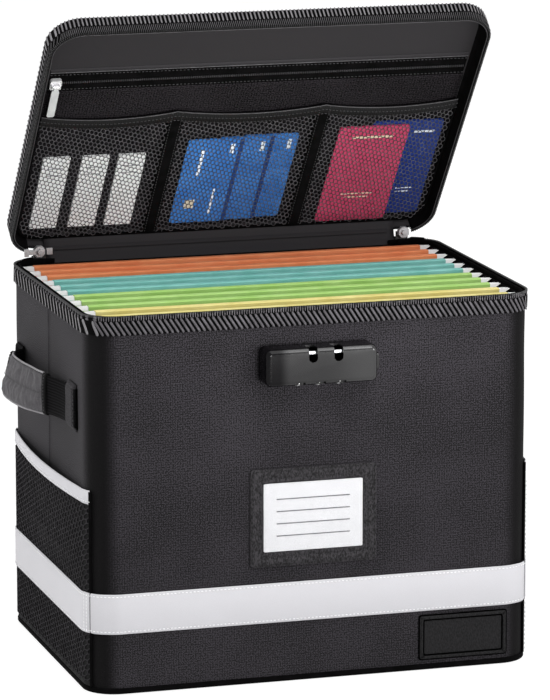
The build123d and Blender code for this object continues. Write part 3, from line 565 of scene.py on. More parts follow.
# ---------------------------------------------------------------- stamps and yarns along runs
def capsule(name, length, wide, thick, sides=6):
    """A small rounded bar along Z: a stitch, rib or tooth, centred on the origin."""
    build = bmesh.new()
    rings = []
    for level, size in ((-0.5, 0.55), (-0.42, 1.0), (0.42, 1.0), (0.5, 0.55)):
        rings.append([build.verts.new(Vector((math.cos(2 * math.pi * i / sides) * wide / 2 * size,
                                              math.sin(2 * math.pi * i / sides) * thick / 2 * size,
                                              level * length)) * MM) for i in range(sides)])
    for low, high in zip(rings, rings[1:]):
        for i in range(sides):
            build.faces.new((low[i], low[(i + 1) % sides], high[(i + 1) % sides], high[i]))
    build.faces.new(list(reversed(rings[0])))
    build.faces.new(rings[-1])
    return linked(name, plain_mesh(build, name))


# Each stamp's length, width and thickness.
STAMPS = {name: capsule(name + "_stamp", *size) for name, size in {
    "stitch": (0.7, 2.4, 0.7), "fine_stitch": (0.5, 1.8, 0.5), "needle_hole": (1.1, 2.2, 0.5),
    "rim_rib": (12.8, 1.9, 0.9), "side_rib": (12.4, 2.7, 0.3), "rim_tick": (3.6, 0.8, 0.6),
    "side_tick": (1.7, 3.4, 0.5), "lid_rib": (9.2, 1.3, 0.4), "lid_side_rib": (9.2, 2.2, 0.3),
    "lid_tooth": (6.6, 0.6, 0.5), "coil_tooth": (1.6, 0.8, 2.0)}.items()}


def opened(tree_name, inputs):
    """A new Geometry Nodes tree with named inputs, and the outputs of its input node."""
    tree = bpy.data.node_groups.new(tree_name, "GeometryNodeTree")
    tree.interface.new_socket("Geometry", in_out="INPUT", socket_type="NodeSocketGeometry")
    for name, kind in inputs:
        tree.interface.new_socket(name, in_out="INPUT", socket_type="NodeSocket" + kind)
    tree.interface.new_socket("Geometry", in_out="OUTPUT", socket_type="NodeSocketGeometry")
    return tree, add(tree, "NodeGroupInput").outputs


def ended(tree, made, material):
    """Ends a tree: real copies, their material, and the output."""
    real = add(tree, "GeometryNodeRealizeInstances", {0: made})
    done = add(tree, "GeometryNodeSetMaterial", {"Geometry": real.outputs[0], "Material": material})
    add(tree, "NodeGroupOutput", {0: done.outputs[0]})
    return tree


def repeat_tree():
    """Sets a stamp along a path at even spacing: X along the path, Z up, leaning to one side."""
    tree, given = opened("repeat_along_path", (("Stamp", "Object"), ("Spacing", "Float"), ("Lean", "Float"),
                                               ("Material", "Material")))
    line = add(tree, "GeometryNodeMeshToCurve", {"Mesh": given["Geometry"]})
    even = add(tree, "GeometryNodeResampleCurve", {"Curve": line.outputs[0], "Length": given["Spacing"]},
               mode="LENGTH")
    spots = add(tree, "GeometryNodeCurveToPoints", {"Curve": even.outputs[0]}, mode="EVALUATED")
    along = add(tree, "FunctionNodeAlignRotationToVector", {"Vector": spots.outputs["Tangent"]}, axis="X")
    upright = add(tree, "FunctionNodeAlignRotationToVector",
                  {"Rotation": along.outputs[0], "Vector": (0.0, 0.0, 1.0)}, axis="Z", pivot_axis="X")
    tilt = add(tree, "ShaderNodeCombineXYZ", {"Y": given["Lean"]})
    leaning = add(tree, "FunctionNodeRotateRotation",
                  {"Rotation": upright.outputs[0], "Rotate By": tilt.outputs[0]}, rotation_space="LOCAL")
    shape = add(tree, "GeometryNodeObjectInfo", {"Object": given["Stamp"]})
    copies = add(tree, "GeometryNodeInstanceOnPoints",
                 {"Points": spots.outputs["Points"], "Instance": shape.outputs["Geometry"],
                  "Rotation": leaning.outputs[0]})
    return ended(tree, copies.outputs[0], given["Material"])


def strand_tree():
    """Gives every run of edges the thickness of a yarn or cord."""
    tree, given = opened("yarn_along_edges", (("Radius", "Float"), ("Sides", "Int"),
                                              ("Material", "Material")))
    line = add(tree, "GeometryNodeMeshToCurve", {"Mesh": given["Geometry"]})
    section = add(tree, "GeometryNodeCurvePrimitiveCircle",
                  {"Resolution": given["Sides"], "Radius": given["Radius"]})
    yarn = add(tree, "GeometryNodeCurveToMesh",
               {"Curve": line.outputs[0], "Profile Curve": section.outputs[0], "Fill Caps": True})
    return ended(tree, yarn.outputs[0], given["Material"])


REPEAT, STRAND = repeat_tree(), strand_tree()


def taken(maker, name):
    """The evaluated shape of an object as a plain mesh; the object is removed."""
    bpy.context.view_layer.update()
    result = bpy.data.meshes.new_from_object(maker.evaluated_get(bpy.context.evaluated_depsgraph_get()))
    result.name = name
    bpy.data.objects.remove(maker)
    return result


def followed(name, runs, closed, tree, values):
    """What a tree makes along runs of points in millimetres, as a plain mesh."""
    points, edges = [], []
    for run in runs:
        first = len(points)
        points += [Vector(p) * MM for p in run]
        edges += [(first + i, first + i + 1) for i in range(len(run) - 1)]
        if closed:
            edges.append((len(points) - 1, first))
    mesh = bpy.data.meshes.new(name + "_path")
    mesh.from_pydata(points, edges, [])
    maker = linked(name + "_maker", mesh)
    modifier = maker.modifiers.new("maker", "NODES")
    modifier.node_group = tree
    sockets = {s.name: s.identifier for s in tree.interface.items_tree if s.in_out == "INPUT"}
    for key, value in values.items():
        modifier[sockets[key]] = value
    return taken(maker, name)


def stamped(name, runs, spacing, stamp, material, on=BOX, lean=0.0, closed=False):
    """A row of stamps along runs of points, as one piece."""
    mesh = followed(name, runs, closed, REPEAT, {"Stamp": STAMPS[stamp], "Spacing": spacing * MM,
                                                 "Lean": math.radians(lean), "Material": material})
    return keep(name, mesh, material, on)


def stitches(name, runs, on=BOX, spacing=3.0, thread=thread_dark, stamp="fine_stitch", closed=False):
    """Sewing along runs of points."""
    stamped(name + "_stitches", runs, spacing, stamp, thread, on, closed=closed)


def outline(half_w, half_h, radius, centre, level):
    """A closed run round a leatherette piece on the front."""
    return beside(rounded(half_w, half_h, radius, step=4.0, arc=4, centre=centre), 0, level)


def needle_holes(name, *place):
    """The holes of the sewing round a leatherette piece."""
    stamped(f"{name}_needle_holes", [outline(*place)], 3.6, "needle_hole", thread_black,
            FRONT, closed=True)


def yarns(name, runs, radius, sides, material, on=BOX, closed=False):
    """Yarn or cord along runs of points, as one piece."""
    mesh = followed(name, runs, closed, STRAND,
                    {"Radius": radius * MM, "Sides": sides, "Material": material})
    return keep(name, mesh, material, on)


def honeycomb(a, b, reach, wanted):
    """The three-way yarns of a warp-knit net, on a flat plane; a and b join neighbouring cells."""
    middle = (wanted[0] + wanted[1]) / 2, (wanted[2] + wanted[3]) / 2
    runs = []
    for i in range(-reach, reach):
        for j in range(-reach, reach):
            p = (middle[0] + i * a[0] + j * b[0], middle[1] + i * a[1] + j * b[1])
            if wanted[0] < p[0] < wanted[1] and wanted[2] < p[1] < wanted[3]:
                up = (p[0] + (a[0] + b[0]) / 3, p[1] + (a[1] + b[1]) / 3)
                runs += [(up, (p[0] + 2 * (a[0] + b[0]) / 3 - end[0], p[1] + 2 * (a[1] + b[1]) / 3 - end[1]))
                         for end in ((0, 0), a, b)]
    return runs


# ---------------------------------------------------------------- handles
HANDLE_LEVEL, WEB_HALF, WEB_OUT = 214.5, 15.0, 1.2
# The webbing's section: distance out of its middle, height.
WEB_SECTION = [(WEB_OUT, 0.6 - WEB_HALF), (WEB_OUT, 0), (WEB_OUT, WEB_HALF - 0.6), (0.0, WEB_HALF),
               (-WEB_OUT, WEB_HALF - 0.6), (-WEB_OUT, 0), (-WEB_OUT, 0.6 - WEB_HALF), (0.0, -WEB_HALF)]
# The webbing's middle line: place along Y, distance out of the wall.
HANDLE_LINE = [(-90, 1.6), (-79, 1.6), (-66, 1.7), (-50, 4.0), (-30, 9.5), (-14, 14.5), (5, 18.5),
               (27, 20.5), (49, 20.0), (58, 17.0), (64, 12.4), (68, 7.5), (71.5, 3.6), (75, 1.8), (80, 1.6),
               (98, 1.6)]
PAD_START, PAD_END = -30.0, 60.0


def handle_point(y):
    """How far the middle of the webbing stands out at a place along Y, on a smooth line."""
    before, last = sum(p[0] <= y for p in HANDLE_LINE[1:-1]), len(HANDLE_LINE) - 1
    p0, p1, p2, p3 = [HANDLE_LINE[min(max(i, 0), last)] for i in range(before - 1, before + 3)]
    t = min(1.0, max(0.0, (y - p1[0]) / (p2[0] - p1[0])))
    m1, m2 = [(b[1] - a[1]) / (b[0] - a[0]) * (p2[0] - p1[0]) for a, b in ((p0, p2), (p1, p3))]
    return ((2 * t ** 3 - 3 * t ** 2 + 1) * p1[1] + (t ** 3 - 2 * t ** 2 + t) * m1
            + (-2 * t ** 3 + 3 * t ** 2) * p2[1] + (t ** 3 - t ** 2) * m2)


def handle_spot(side, y, out_by, up):
    """A place on the handle, whose lower edge hangs outwards between its ends."""
    roll = math.radians(14) * min(step_between(y, -28, 4), 1 - step_between(y, 55, 68))
    c, s = math.cos(roll), math.sin(roll)
    out_by, up = out_by * c - up * s, up * c + out_by * s
    slope = handle_point(y + 0.5) - handle_point(y - 0.5)
    size = math.hypot(1, slope)
    return (side * (HALF_X + handle_point(y) + out_by / size), y - out_by * slope / size, HANDLE_LEVEL + up)


def along_pad(side, inset, out_by, up):
    """A run along the pad that starts and ends this far from the pad's ends."""
    length = PAD_END - PAD_START - 2 * inset
    return [handle_spot(side, PAD_START + inset + length * i / 40, out_by, up) for i in range(41)]


def tube_along(side, start, end, count, section):
    """Rows round a section that follows the handle; section(t) gives (out, up) pairs.

    Both ends are closed by drawing them to their middle."""
    rows = [[handle_spot(side, start + (end - start) * i / count, out, up)
             for out, up in section(i / count)] for i in range(count + 1)]
    first, last = [[tuple(sum(p[k] for p in row) / len(row) for k in range(3))] * len(row)
                   for row in (rows[0], rows[-1])]
    return [first, *rows, last]


def pad_section(t, tall=15.6, thick=2.7):
    """The slack pad before it is filled, thinner at its ends."""
    end = min(1.0, 0.6 + 4.0 * min(t, 1 - t))
    angles = [2 * math.pi * i / 32 for i in range(32)]
    return [(math.copysign(thick * abs(math.cos(a)) ** 0.6 * end, math.cos(a)),
             tall * math.copysign(abs(math.sin(a)) ** 0.75, math.sin(a))) for a in angles]


def remeshed(mesh, voxel_mm):
    """An even mesh over a shape's outside."""
    maker = linked("voxels", mesh)
    voxels = maker.modifiers.new("voxels", "REMESH")
    voxels.mode, voxels.voxel_size = "VOXEL", voxel_mm * MM
    return taken(maker, mesh.name + "_voxels")


def inflated(mesh, held, cap_mm):
    """Fills a slack pad by cloth simulation; held(point) keeps seams where they were sewn."""
    rest = [v.co.copy() for v in mesh.vertices]
    maker = linked("inflating", mesh)
    pins = maker.vertex_groups.new(name="seams")
    for v in mesh.vertices:
        pins.add([v.index], held(v.co / MM), "REPLACE")
    fabric = maker.modifiers.new("fabric", "CLOTH")
    own = fabric.settings
    own.quality, own.mass, own.use_pressure, own.uniform_pressure_force = 6, 0.004, True, 4.0
    own.vertex_group_mass, own.shrink_min, own.effector_weights.gravity = "seams", -0.05, 0.0
    own.tension_stiffness = own.compression_stiffness = 8.0
    own.bending_stiffness = 0.05
    fabric.point_cache.frame_end = 20
    for step in range(1, 21):
        bpy.context.scene.frame_set(step)
    result = taken(maker, mesh.name)
    for v, start in zip(result.vertices, rest):
        moved = v.co - start
        if moved.length > cap_mm * MM:
            v.co = start + moved.normalized() * cap_mm * MM
    bpy.context.scene.frame_set(1)
    return result


def grip_pad(name, side, grip):
    """The padded grip: filled by simulation, then its middle seam is drawn in."""
    rows = tube_along(side, PAD_START, PAD_END, 44, pad_section)
    mesh = remeshed(tidy(cloth(name, rows, closed=True)), 1.8)

    def held(p):
        up, end = abs(p.z - HANDLE_LEVEL), min(p.y - PAD_START, PAD_END - p.y)
        return float(end < 2.5 or up > 14.2 or up < 1.0)
    mesh = inflated(mesh, held, 1.5)
    for v in mesh.vertices:
        p = v.co / MM
        middle = Vector(handle_spot(side, min(PAD_END, max(PAD_START, p.y)), 0, p.z - HANDLE_LEVEL))
        draw = 0.42 * math.exp(-((p.z - HANDLE_LEVEL) / 1.6) ** 2)
        pucker = 0.25 * noise.noise(Vector((p.y / 4.0, p.z / 9.0, side)))
        v.co = (p + (middle - p) * draw + (p - middle).normalized() * pucker) * MM
    pad = keep(name, mesh, grip_cloth, grip)
    smooth = pad.modifiers.new("fine_surface", "SUBSURF")
    smooth.levels = smooth.render_levels = 1
    return pad


def handle(name, side):
    """A carrying handle: two lengths of webbing, the padded grip with its cuffs, and the patches."""
    body = f"{name}_grip"
    grip = moving(body)
    for end, low, high, bodies, first, last in (
            ("front", -89, PAD_START + 4, ("box", body), -66, -30),
            ("rear", PAD_END - 4, 95, (body, "box"), 60, 76)):
        web = sewn(f"{name}_{end}_webbing", tube_along(side, low, high, 46, lambda t: WEB_SECTION), webbing,
                   "webbing", UNTIED, closed=True)
        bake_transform(web)
        if end == "front":
            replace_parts(web, f"{name}_handle_strap")
    pad = grip_pad(f"{name}_grip_pad", side, grip)
    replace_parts(pad, f"{name}_handle_grip")
    for end, y0, y1 in (("front", PAD_START - 2.5, PAD_START + 2), ("rear", PAD_END - 2, PAD_END + 1.5)):
        cuff = f"{name}_grip_{end}_cuff"
        sewn(cuff, tube_along(side, y0, y1, 6, lambda t: pad_section(0.5, 16.2, 3.0)), cuff_cloth,
             "grip_fabric", grip, closed=True)
        ring = [handle_spot(side, (y0 + y1) / 2, out, up) for out, up in pad_section(0.5, 16.3, 3.2)]
        stitches(cuff, [ring], grip, 2.6, closed=True)
    for edge, up in (("upper", 16.0), ("lower", -16.0)):
        # The edge cords' pale grey is partly a painted highlight.
        yarns(f"{name}_grip_{edge}_edge", [along_pad(side, 3, 0, up)], 0.8, 8, grip_edge_painted_highlight, grip)
    stamped(f"{name}_grip_seam", [along_pad(side, 5, 2.9, 0)], 3.2, "fine_stitch", thread_dark,
            grip)
    return [handle_patch(f"{name}_front_handle_patch", side, -88.0, 22.0, 18.0, oxford, False),
            handle_patch(f"{name}_rear_handle_patch", side, 76.0, 20.0, 15.6, tape_plain, True)]


def handle_patch(name, side, start, length, half, material, rear):
    """The cloth patch that sews an end of the webbing down: a low arch, open towards the grip."""
    def upright(out_by, inset, heights):
        """One upright run, this far inside the patch's outer end."""
        y = start + length - inset if rear else start + inset
        return [[(side * (HALF_X + out_by), y, HANDLE_LEVEL + up) for up in heights]]
    rows = []
    for j in range(17):
        up = -half + 2 * half * j / 16
        arch = 2.6 * (1 - step_between(abs(up), half - 4, half - 0.4)) + 0.35
        row = []
        for i in range(13):
            rise = 0.12 + 0.88 * step_between(1 - i / 12 if rear else i / 12, 0.02, 0.16)
            row.append((side * (HALF_X + 0.1 + arch * rise + soft((i, up, start), 6, 0.2)),
                        start + length * i / 12, HANDLE_LEVEL + up))
        rows.append(row)
    patch = sewn(name, rows, material, "body_fabric", thick=0.6, flip=side > 0)
    # Painted shade in the patch's open end: a near-black cord.
    yarns(name + "_slit", upright(0.25, -0.6, (-16, -8, 0, 8, 15)), 0.9, 8, painted_shade_cord)
    for tag, inset in (("outer", 1.8), ("inner", 4.4)):
        stitches(f"{name}_{tag}", upright(3.0, inset, (-12.5, -5, 5, 12.5)), spacing=2.8)
    return patch


# ---------------------------------------------------------------- the box's cover and trims
COVER_TOP = 286.0


def creased_path():
    """The wall's plan, with close points at the fold line in the middle of each side."""
    path = []
    for x, y, nx, ny in plan():
        if abs(nx) > 0.99 and abs(y) < 3.9:
            continue
        last = path[-1] if path else None
        if last and abs(nx) > 0.99 and last[0] == x and last[1] * y < 0:
            toward = -1 if last[1] > 0 else 1
            path += [(x, toward * step, nx, ny) for step in (-3.6, -2.6, -1.4, -0.7, 0.0, 0.7, 1.4, 2.6, 3.6)]
        path.append((x, y, nx, ny))
    return path


def body_cover():
    """The sewn cover: walls over the boards, a fold line down each side, and the bottom."""
    path = creased_path()
    rows = [*drawn_in(path, (0.02, 0.5, 0.9, 0.97), 0.3), beside(path, -1.5, 0.35)]
    for level in [1.5 + i * (COVER_TOP - 1.5) / 70 for i in range(71)]:
        row = []
        for x, y, nx, ny in path:
            crease = 0.0
            if abs(nx) > 0.99:
                crease = 0.45 * math.exp(-((y + 2.6) / 1.5) ** 2) - 1.1 * math.exp(-(y / 0.9) ** 2)
            calm = min(1.0, (COVER_TOP - level) / 20, (level + 5) / 20)
            puff = soft((x, y, level), 55.0, 0.45) * calm
            row.append((x + nx * (crease + puff - 0.15), y + ny * (crease + puff - 0.15), level))
        rows.append(row)
    piece = sewn("body_cover", rows, oxford, "body_fabric", thick=0.8, closed=True, flat=(5, 0),
                 shut=(True, False))
    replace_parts(piece, "outer_shell")


def rim():
    """The ribbed binding, folded over the wall's top, with its fine upper row and the zip coil."""
    profile = [(0.1, 276.0), (1.0, 276.1), (1.5, 277.0), (1.5, 287.6), (1.0, 288.6), (0.1, 288.8),
               (-0.1, 286.6), (-4.9, 286.5), (-5.3, 286.0), (-5.3, 281.4), (-4.8, 281.1), (-4.6, 286.2),
               (0.0, 286.2)]
    binding = sewn("rim_tape", ring_of(plan(), profile), tape_plain, "binding_webbing", closed=True)
    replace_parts(binding, "rim_binding")
    ends, flanks = quarter_runs(1.7, 281.6)
    stamped("rim_ribs", ends, 4.1, "rim_rib", rib_yarn, lean=-33)
    # The side ribs use a lighter copy of the rib cord: painted light.
    stamped("rim_side_ribs", flanks, 9.4, "side_rib", side_rib_yarn_painted_light, lean=-30)
    # The fine upper row uses the pale coil copy: a painted highlight.
    stamped("rim_ticks", quarter_runs(1.4, 288.9)[0], 1.9, "rim_tick", coil_painted_highlight)
    for row, level, late in (("upper", 289.7, 0), ("lower", 287.7, 1)):
        sides = [[along_run(run, 3.7 * late), *run[1 + 2 * late:]] for run in quarter_runs(1.45, level)[1]]
        stamped(f"rim_{row}_side_ticks", sides, 7.4, "side_tick", rib_yarn)
    lip = [(-3.3, 286.3), (-2.5, 286.3), (-2.4, 289.8), (-2.9, 290.4), (-3.4, 289.8)]
    sewn("rim_inner_lip", ring_of(cut_run(plan(), 138), lip), tape_plain, "binding_webbing")
    backing = [(0.4, 288.3), (0.9, 288.4), (0.9, 290.2), (0.4, 290.3)]
    sewn("rim_zip_tape", ring_of(plan(), backing), tape_plain, "zip_coil", closed=True)
    teeth = stamped("box_zip_coil", [beside(cut_run(plan(), 151), 0.9, 290.1)], 1.6, "coil_tooth",
                    coil_nylon)
    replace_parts(teeth, "box_zip_teeth")


def bottom_edge():
    """The bound edge round the box's foot."""
    profile = [(0.0, 0.7), (0.9, 0.7), (1.5, 1.6), (1.5, 4.0), (0.9, 4.9), (0.0, 5.0)]
    edge = sewn("bottom_bound_edge", ring_of(plan(step=6.0), profile), tape_plain, "binding_webbing",
                closed=True)
    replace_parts(edge, "bottom_piping")


def box_lining():
    """The box's lining, seen from inside: walls and floor."""
    path = plan(3.6, 8.0, 8)
    rows = [[(x - nx * (1.3 + soft((x, y, z), 40, 0.15)), y - ny * (1.3 + soft((x, y, z), 40, 0.15)), z)
             for x, y, nx, ny in path] for z in [285.8 - i * 8.5 for i in range(33)]]
    rows += [beside(path, -3, 4.9), *drawn_in(path, (0.9, 0.5, 0.02), 4.8)]
    piece = sewn("box_lining_cloth", rows, lining_cloth, "lining_fabric", thick=0.5, offset=0.0, closed=True,
                 flat=(0, 4), shut=(False, True))
    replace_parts(piece, "inner_lining")


def corner_flaps():
    """Lining turned up at the back corners, which shuts the gap beside the parked sliders."""
    reach = 20.6
    for name, side in SIDES:
        arc = [math.radians(102 - 64 * i / 12) for i in range(13)]
        rows = [[(side * (ARC_X + reach * math.cos(a)), ARC_Y + reach * math.sin(a),
                  285.9 + share * (4.8 + 1.7 * step_between(reach * math.cos(a), 4.0, 6.6))) for a in arc]
                for share in (0.0, 0.5, 1.0)]
        sewn(f"{name}_corner_flap", rows, tape_plain, "lining_fabric", thick=0.5, offset=0.0)


# ---------------------------------------------------------------- side pockets and pale bands
POCKET_LOW, POCKET_HIGH, TRIM = 5.2, 157.0, 11.0
BAND_LOW, BAND_HIGH = 47.0, 78.0
POCKET_TURN, BAND_TURN = math.radians(31), math.radians(76)    # how far they reach round the corners


def round_corner(middle_x, middle_y, reach, angle):
    """A place this far from the middle of a corner's arc, with its outward direction."""
    n = (math.cos(angle), math.sin(angle))
    return (middle_x + reach * n[0], middle_y + reach * n[1], *n)


def sleeve(side, grow, level):
    """Plan of a layer over one side, from corner to corner, with its outward direction.

    A filled pocket stands out in its middle: flat below, fuller towards its mouth."""
    reach, bulge = CORNER + grow, 6.0 * step_between(level, 70.0, 150.0)
    points = [round_corner(ARC_X, -ARC_Y, reach, -POCKET_TURN + POCKET_TURN * i / 6) for i in range(7)]
    for i in range(1, 50):
        y = -ARC_Y + 2 * ARC_Y * i / 50
        points.append((HALF_X + grow + bulge * (1 - (y / ARC_Y) ** 2), y, 1.0, 0.0))
    points += [round_corner(ARC_X, ARC_Y, reach, POCKET_TURN * i / 6) for i in range(7)]
    return [(-x, y, -nx, ny) for x, y, nx, ny in reversed(points)] if side < 0 else points


def pocket_net(name, side):
    """The net's cells lie in rows that climb towards the front."""
    length = run_length(sleeve(side, 1.5, 60))
    climb = math.tan(math.radians(20)) * -side
    wanted = (0.0, length - 1.0, POCKET_LOW + 2.5, POCKET_HIGH - TRIM - 0.5)
    layers = {level: sleeve(side, 1.5, level) for level in range(0, 170, 5)}
    runs = []
    for ends in honeycomb((7.2, 7.2 * climb), (3.6, 3.6 * climb - 3.9), 120, wanted):
        run = []
        for u, level in ends:
            u, level = min(max(u, 0.0), length), min(max(level, POCKET_LOW + 0.6), POCKET_HIGH - TRIM + 1)
            layer = layers[int(level // 5) * 5]
            run.append((*along_run(layer, u * run_length(layer) / length)[:2], level))
        if math.dist(*run) > 0.3:
            runs.append(run)
    return yarns(f"{name}_pocket_net", runs, 0.48, 4, net_black)


def side_pocket(name, side):
    """A net pocket with a close-knit back, its pale top strip and stitches."""
    levels = [POCKET_LOW + i * (POCKET_HIGH - 2 - POCKET_LOW) / 36 for i in range(37)]
    back = sewn(f"{name}_pocket_knit", [beside(sleeve(side, 0.7, z), 0, z) for z in levels], knit_black,
                "mesh", thick=0.5, offset=0.0)
    net = pocket_net(name, side)
    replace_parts(net, f"{name}_mesh_pocket")
    for end, tag in ((0, "one"), (-1, "two")):
        post = [(*sleeve(side, 1.3, z)[end][:2], z) for z in (POCKET_LOW, POCKET_HIGH - 1)]
        yarns(f"{name}_pocket_bound_edge_{tag}", [post], 1.1, 8, tape_plain)
    rows = [beside(sleeve(side, 1.2, z), out, z)
            for z, out in ((POCKET_HIGH - TRIM, 0.35), (POCKET_HIGH - TRIM + 1, 0.95),
                           (POCKET_HIGH - 1, 0.95), (POCKET_HIGH, 0.35))]
    strip = sewn(f"{name}_pocket_strip", rows, pale_band, "reflective_tape", thick=0.5)
    stitches(f"{name}_pocket_strip", [beside(sleeve(side, 1.2, 150), 1.1, POCKET_HIGH - TRIM + 2.4)],
             thread=thread_pale)
    if side > 0:
        runs = []
        for low, high in ((8, 45), (81, int(POCKET_HIGH - TRIM) - 3)):
            spots = [(along_run(sleeve(side, 1.3, z), 1.4), z) for z in range(low, high, 4)]
            runs.append([(x + nx * 1.5, y + ny * 1.5, z) for (x, y, nx, ny), z in spots])
        stitches(f"{name}_pocket_edge", runs, spacing=3.4, thread=thread_pale, stamp="stitch")
    return strip


def face_run(sign):
    """Plan of a layer over the front or the back, lapping a little over the side pockets."""
    grow, down = 0.2, math.pi * 3 / 2
    laps = [(BAND_TURN * i / 12, CORNER + grow + 1.3 * (1 - step_between(i, 4, 9))) for i in range(13)]
    run = [round_corner(-ARC_X, -ARC_Y, reach, down - BAND_TURN + a) for a, reach in laps]
    run += [(-ARC_X + 2 * ARC_X * i / 60, -HALF_Y - grow, 0.0, -1.0) for i in range(1, 60)]
    run += [round_corner(ARC_X, -ARC_Y, reach, down + BAND_TURN - a) for a, reach in reversed(laps)]
    return [(-x, -y, -nx, -ny) for x, y, nx, ny in run] if sign > 0 else run


def pale_bands(strips):
    """The wide pale band: over the pockets on the sides, flat on the front and the back."""
    pieces = []
    for face, run, lift in (("front", face_run(-1), 0.0), ("back", face_run(1), 0.0),
                            ("left", sleeve(-1, 1.5, 60), 0.6), ("right", sleeve(1, 1.5, 60), 0.6)):
        rows = [beside(run, out + lift, z) for z, out in (
            (BAND_LOW, 0.25), (BAND_LOW + 0.8, 0.7), (BAND_HIGH - 0.8, 0.7), (BAND_HIGH, 0.25))]
        pieces.append(sewn(f"{face}_pale_band", rows, pale_band, "reflective_tape", thick=0.5))
        for edge, level in (("lower", BAND_LOW + 2.0), ("upper", BAND_HIGH - 2.0)):
            stitches(f"{face}_band_{edge}", [beside(run, lift + 0.8, level)],
                     thread=thread_pale)
    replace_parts(pieces[0], "reflective_band")
    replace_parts(strips[0], "pocket_trims")
    for name, side in SIDES:
        for tag, angle in (("outer", -24), ("inner", -17)):
            x, y = round_corner(ARC_X, -ARC_Y, CORNER + 2.6, math.radians(angle))[:2]
            stitches(f"{name}_band_lap_{tag}", [[(side * x, y, z) for z in (49, 76)]],
                     spacing=2.6, thread=thread_pale, stamp="stitch")


# ---------------------------------------------------------------- front: label, bare patch, lock
DIALS = {"left": -17.0, "middle": -1.0, "right": 15.0}      # each dial's place along X
DIAL_AXIS_Y, DIAL_AXIS_Z, FIGURE_OUT = -135.5, 239.8, 7.5
PRINT_AND_SHADOW_THICK = 0.12


def printed(name, bars, material, on):
    """Thin bars of print, and painted shadow strips: each is its middle, its width and height, and its level.
    """
    build = bmesh.new()
    for x, y, wide, tall, level in bars:
        for v in bmesh.ops.create_cube(build, size=1.0)["verts"]:
            v.co = Vector((x + v.co.x * wide, y + v.co.y * tall, level + (v.co.z + 0.5) * PRINT_AND_SHADOW_THICK)) * MM
    keep(name, plain_mesh(build, name), material, on, smooth=False)


def label():
    """The label's leatherette frame, rounded and pressed with a line, and the card's ruled lines."""
    centre, half_w, half_h, high = (-1.0, 129.0), 50.0, 38.0, 1.5
    edges = []
    for size in ((half_w, half_h, 1.2), (39.5, 26.75, 0.8)):
        path = rounded(*size, step=8.0, arc=5, centre=centre)
        ring = [*path, path[0]]
        edges.append([along_run(ring, run_length(ring) * i / 96) for i in range(96)])
    rows = [[(o[0] + (i[0] - o[0]) * share, o[1] + (i[1] - o[1]) * share, level) for o, i in zip(*edges)]
            for share, level in ((0.0, 0.05), (0.0, high * 0.7), (0.05, high), (0.62, high + 0.1),
                                 (0.66, high - 0.35), (0.72, high - 0.35), (0.76, high + 0.1), (0.93, high),
                                 (1.0, high * 0.6), (1.0, 0.05), (0.0, 0.05))]
    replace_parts(sewn("label_holder", rows, leatherette, "leatherette", FRONT, closed=True), "label_frame")
    needle_holes("label_holder", half_w - 1.6, half_h - 1.6, 1.5, centre, high + 0.1)
    printed("label_rules", [(centre[0], centre[1] + 14 - 9.5 * i, 58.0, 0.9, 0.6) for i in range(4)], ink,
            FRONT)


def bare_patch():
    """The plain patch at the front's lower right: a raised border round a pressed field."""
    centre = (119.5, 26.0)
    border = rounded(35.0, 17.0, 1.6, step=4.0, arc=5, centre=centre)
    rows = band_round(border, [(0.0, 0.05), (0.0, 1.2), (-0.6, 1.7), (-2.7, 1.7), (-3.2, 1.0)])
    rows += drawn_in(border, (0.6, 0.03), 1.0, centre=centre)
    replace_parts(sewn("bare_front_patch", rows, leatherette_deep, "leatherette", FRONT, open_edge=True,
                     closed=True, flat=(0, 2), shut=(False, True)), "badge_patch")
    field = rounded(31.6, 13.6, 1.5, step=4.0, arc=4, centre=centre)
    rows = [beside(field, 0, 1.05), *drawn_in(field, (0.02,), 1.15, centre=centre)]
    sewn("bare_patch_field", rows, leatherette_deep, "leatherette", FRONT, open_edge=True, closed=True,
         flat=(0, 1), shut=(False, True))
    # Painted shade lines: near-black cords round the border's outer and inner edges.
    for tag, half_w, half_h, level in (("outer", 35.2, 17.2, 0.6), ("inner", 31.9, 13.9, 1.2)):
        yarns(f"bare_patch_{tag}_line", [outline(half_w, half_h, 1.6, centre, level)], 0.75, 6, painted_shade_cord,
              FRONT, closed=True)
    needle_holes("bare_patch", 33.4, 15.4, 1.6, centre, 1.75)


def lock():
    """The lock's housing and the wheels of its dials, with eased edges."""
    eased("lock_cover", "lock_housing", abs_cover, 0.35)
    for name in DIALS:
        eased(f"dial_{name}", f"dial_{name}_wheel", dial_nylon, 0.3, moving(f"dial_{name}"))


def dial_figures():
    """The numbers 0 to 9 round each dial."""
    for name, x in DIALS.items():
        parts = bmesh.new()
        for digit in range(10):
            text = bpy.data.curves.new(f"figure_{digit}", "FONT")
            text.body, text.size, text.extrude = str(digit), 4.2 * MM, 0.06 * MM
            text.align_x, text.align_y, text.resolution_u = "CENTER", "CENTER", 2
            mesh = taken(linked("figure", text), "figure")
            turn = Matrix.Rotation(math.radians(36 * digit + 90), 4, "X")
            mesh.transform(Matrix.Translation(Vector((x, DIAL_AXIS_Y, DIAL_AXIS_Z)) * MM) @ turn
                           @ Matrix.Translation((0, 0, FIGURE_OUT * MM)))
            parts.from_mesh(mesh)
        keep(f"dial_{name}_figures", plain_mesh(parts, f"dial_{name}_figures"), dial_white,
             moving(f"dial_{name}"), smooth=False)


# ---------------------------------------------------------------- lid
PARKED = 158.5                       # the zip sliders stay inside this half width, at the hinge
NET_DEPTH, NET_FOOT = -9.3, -116.5   # the lid's net pockets
SEAMS = (-169.0, -60.0, 60.0, 169.0)
HEM_PLACES = [SEAMS[0] + (SEAMS[-1] - SEAMS[0]) * i / 90 for i in range(91)]


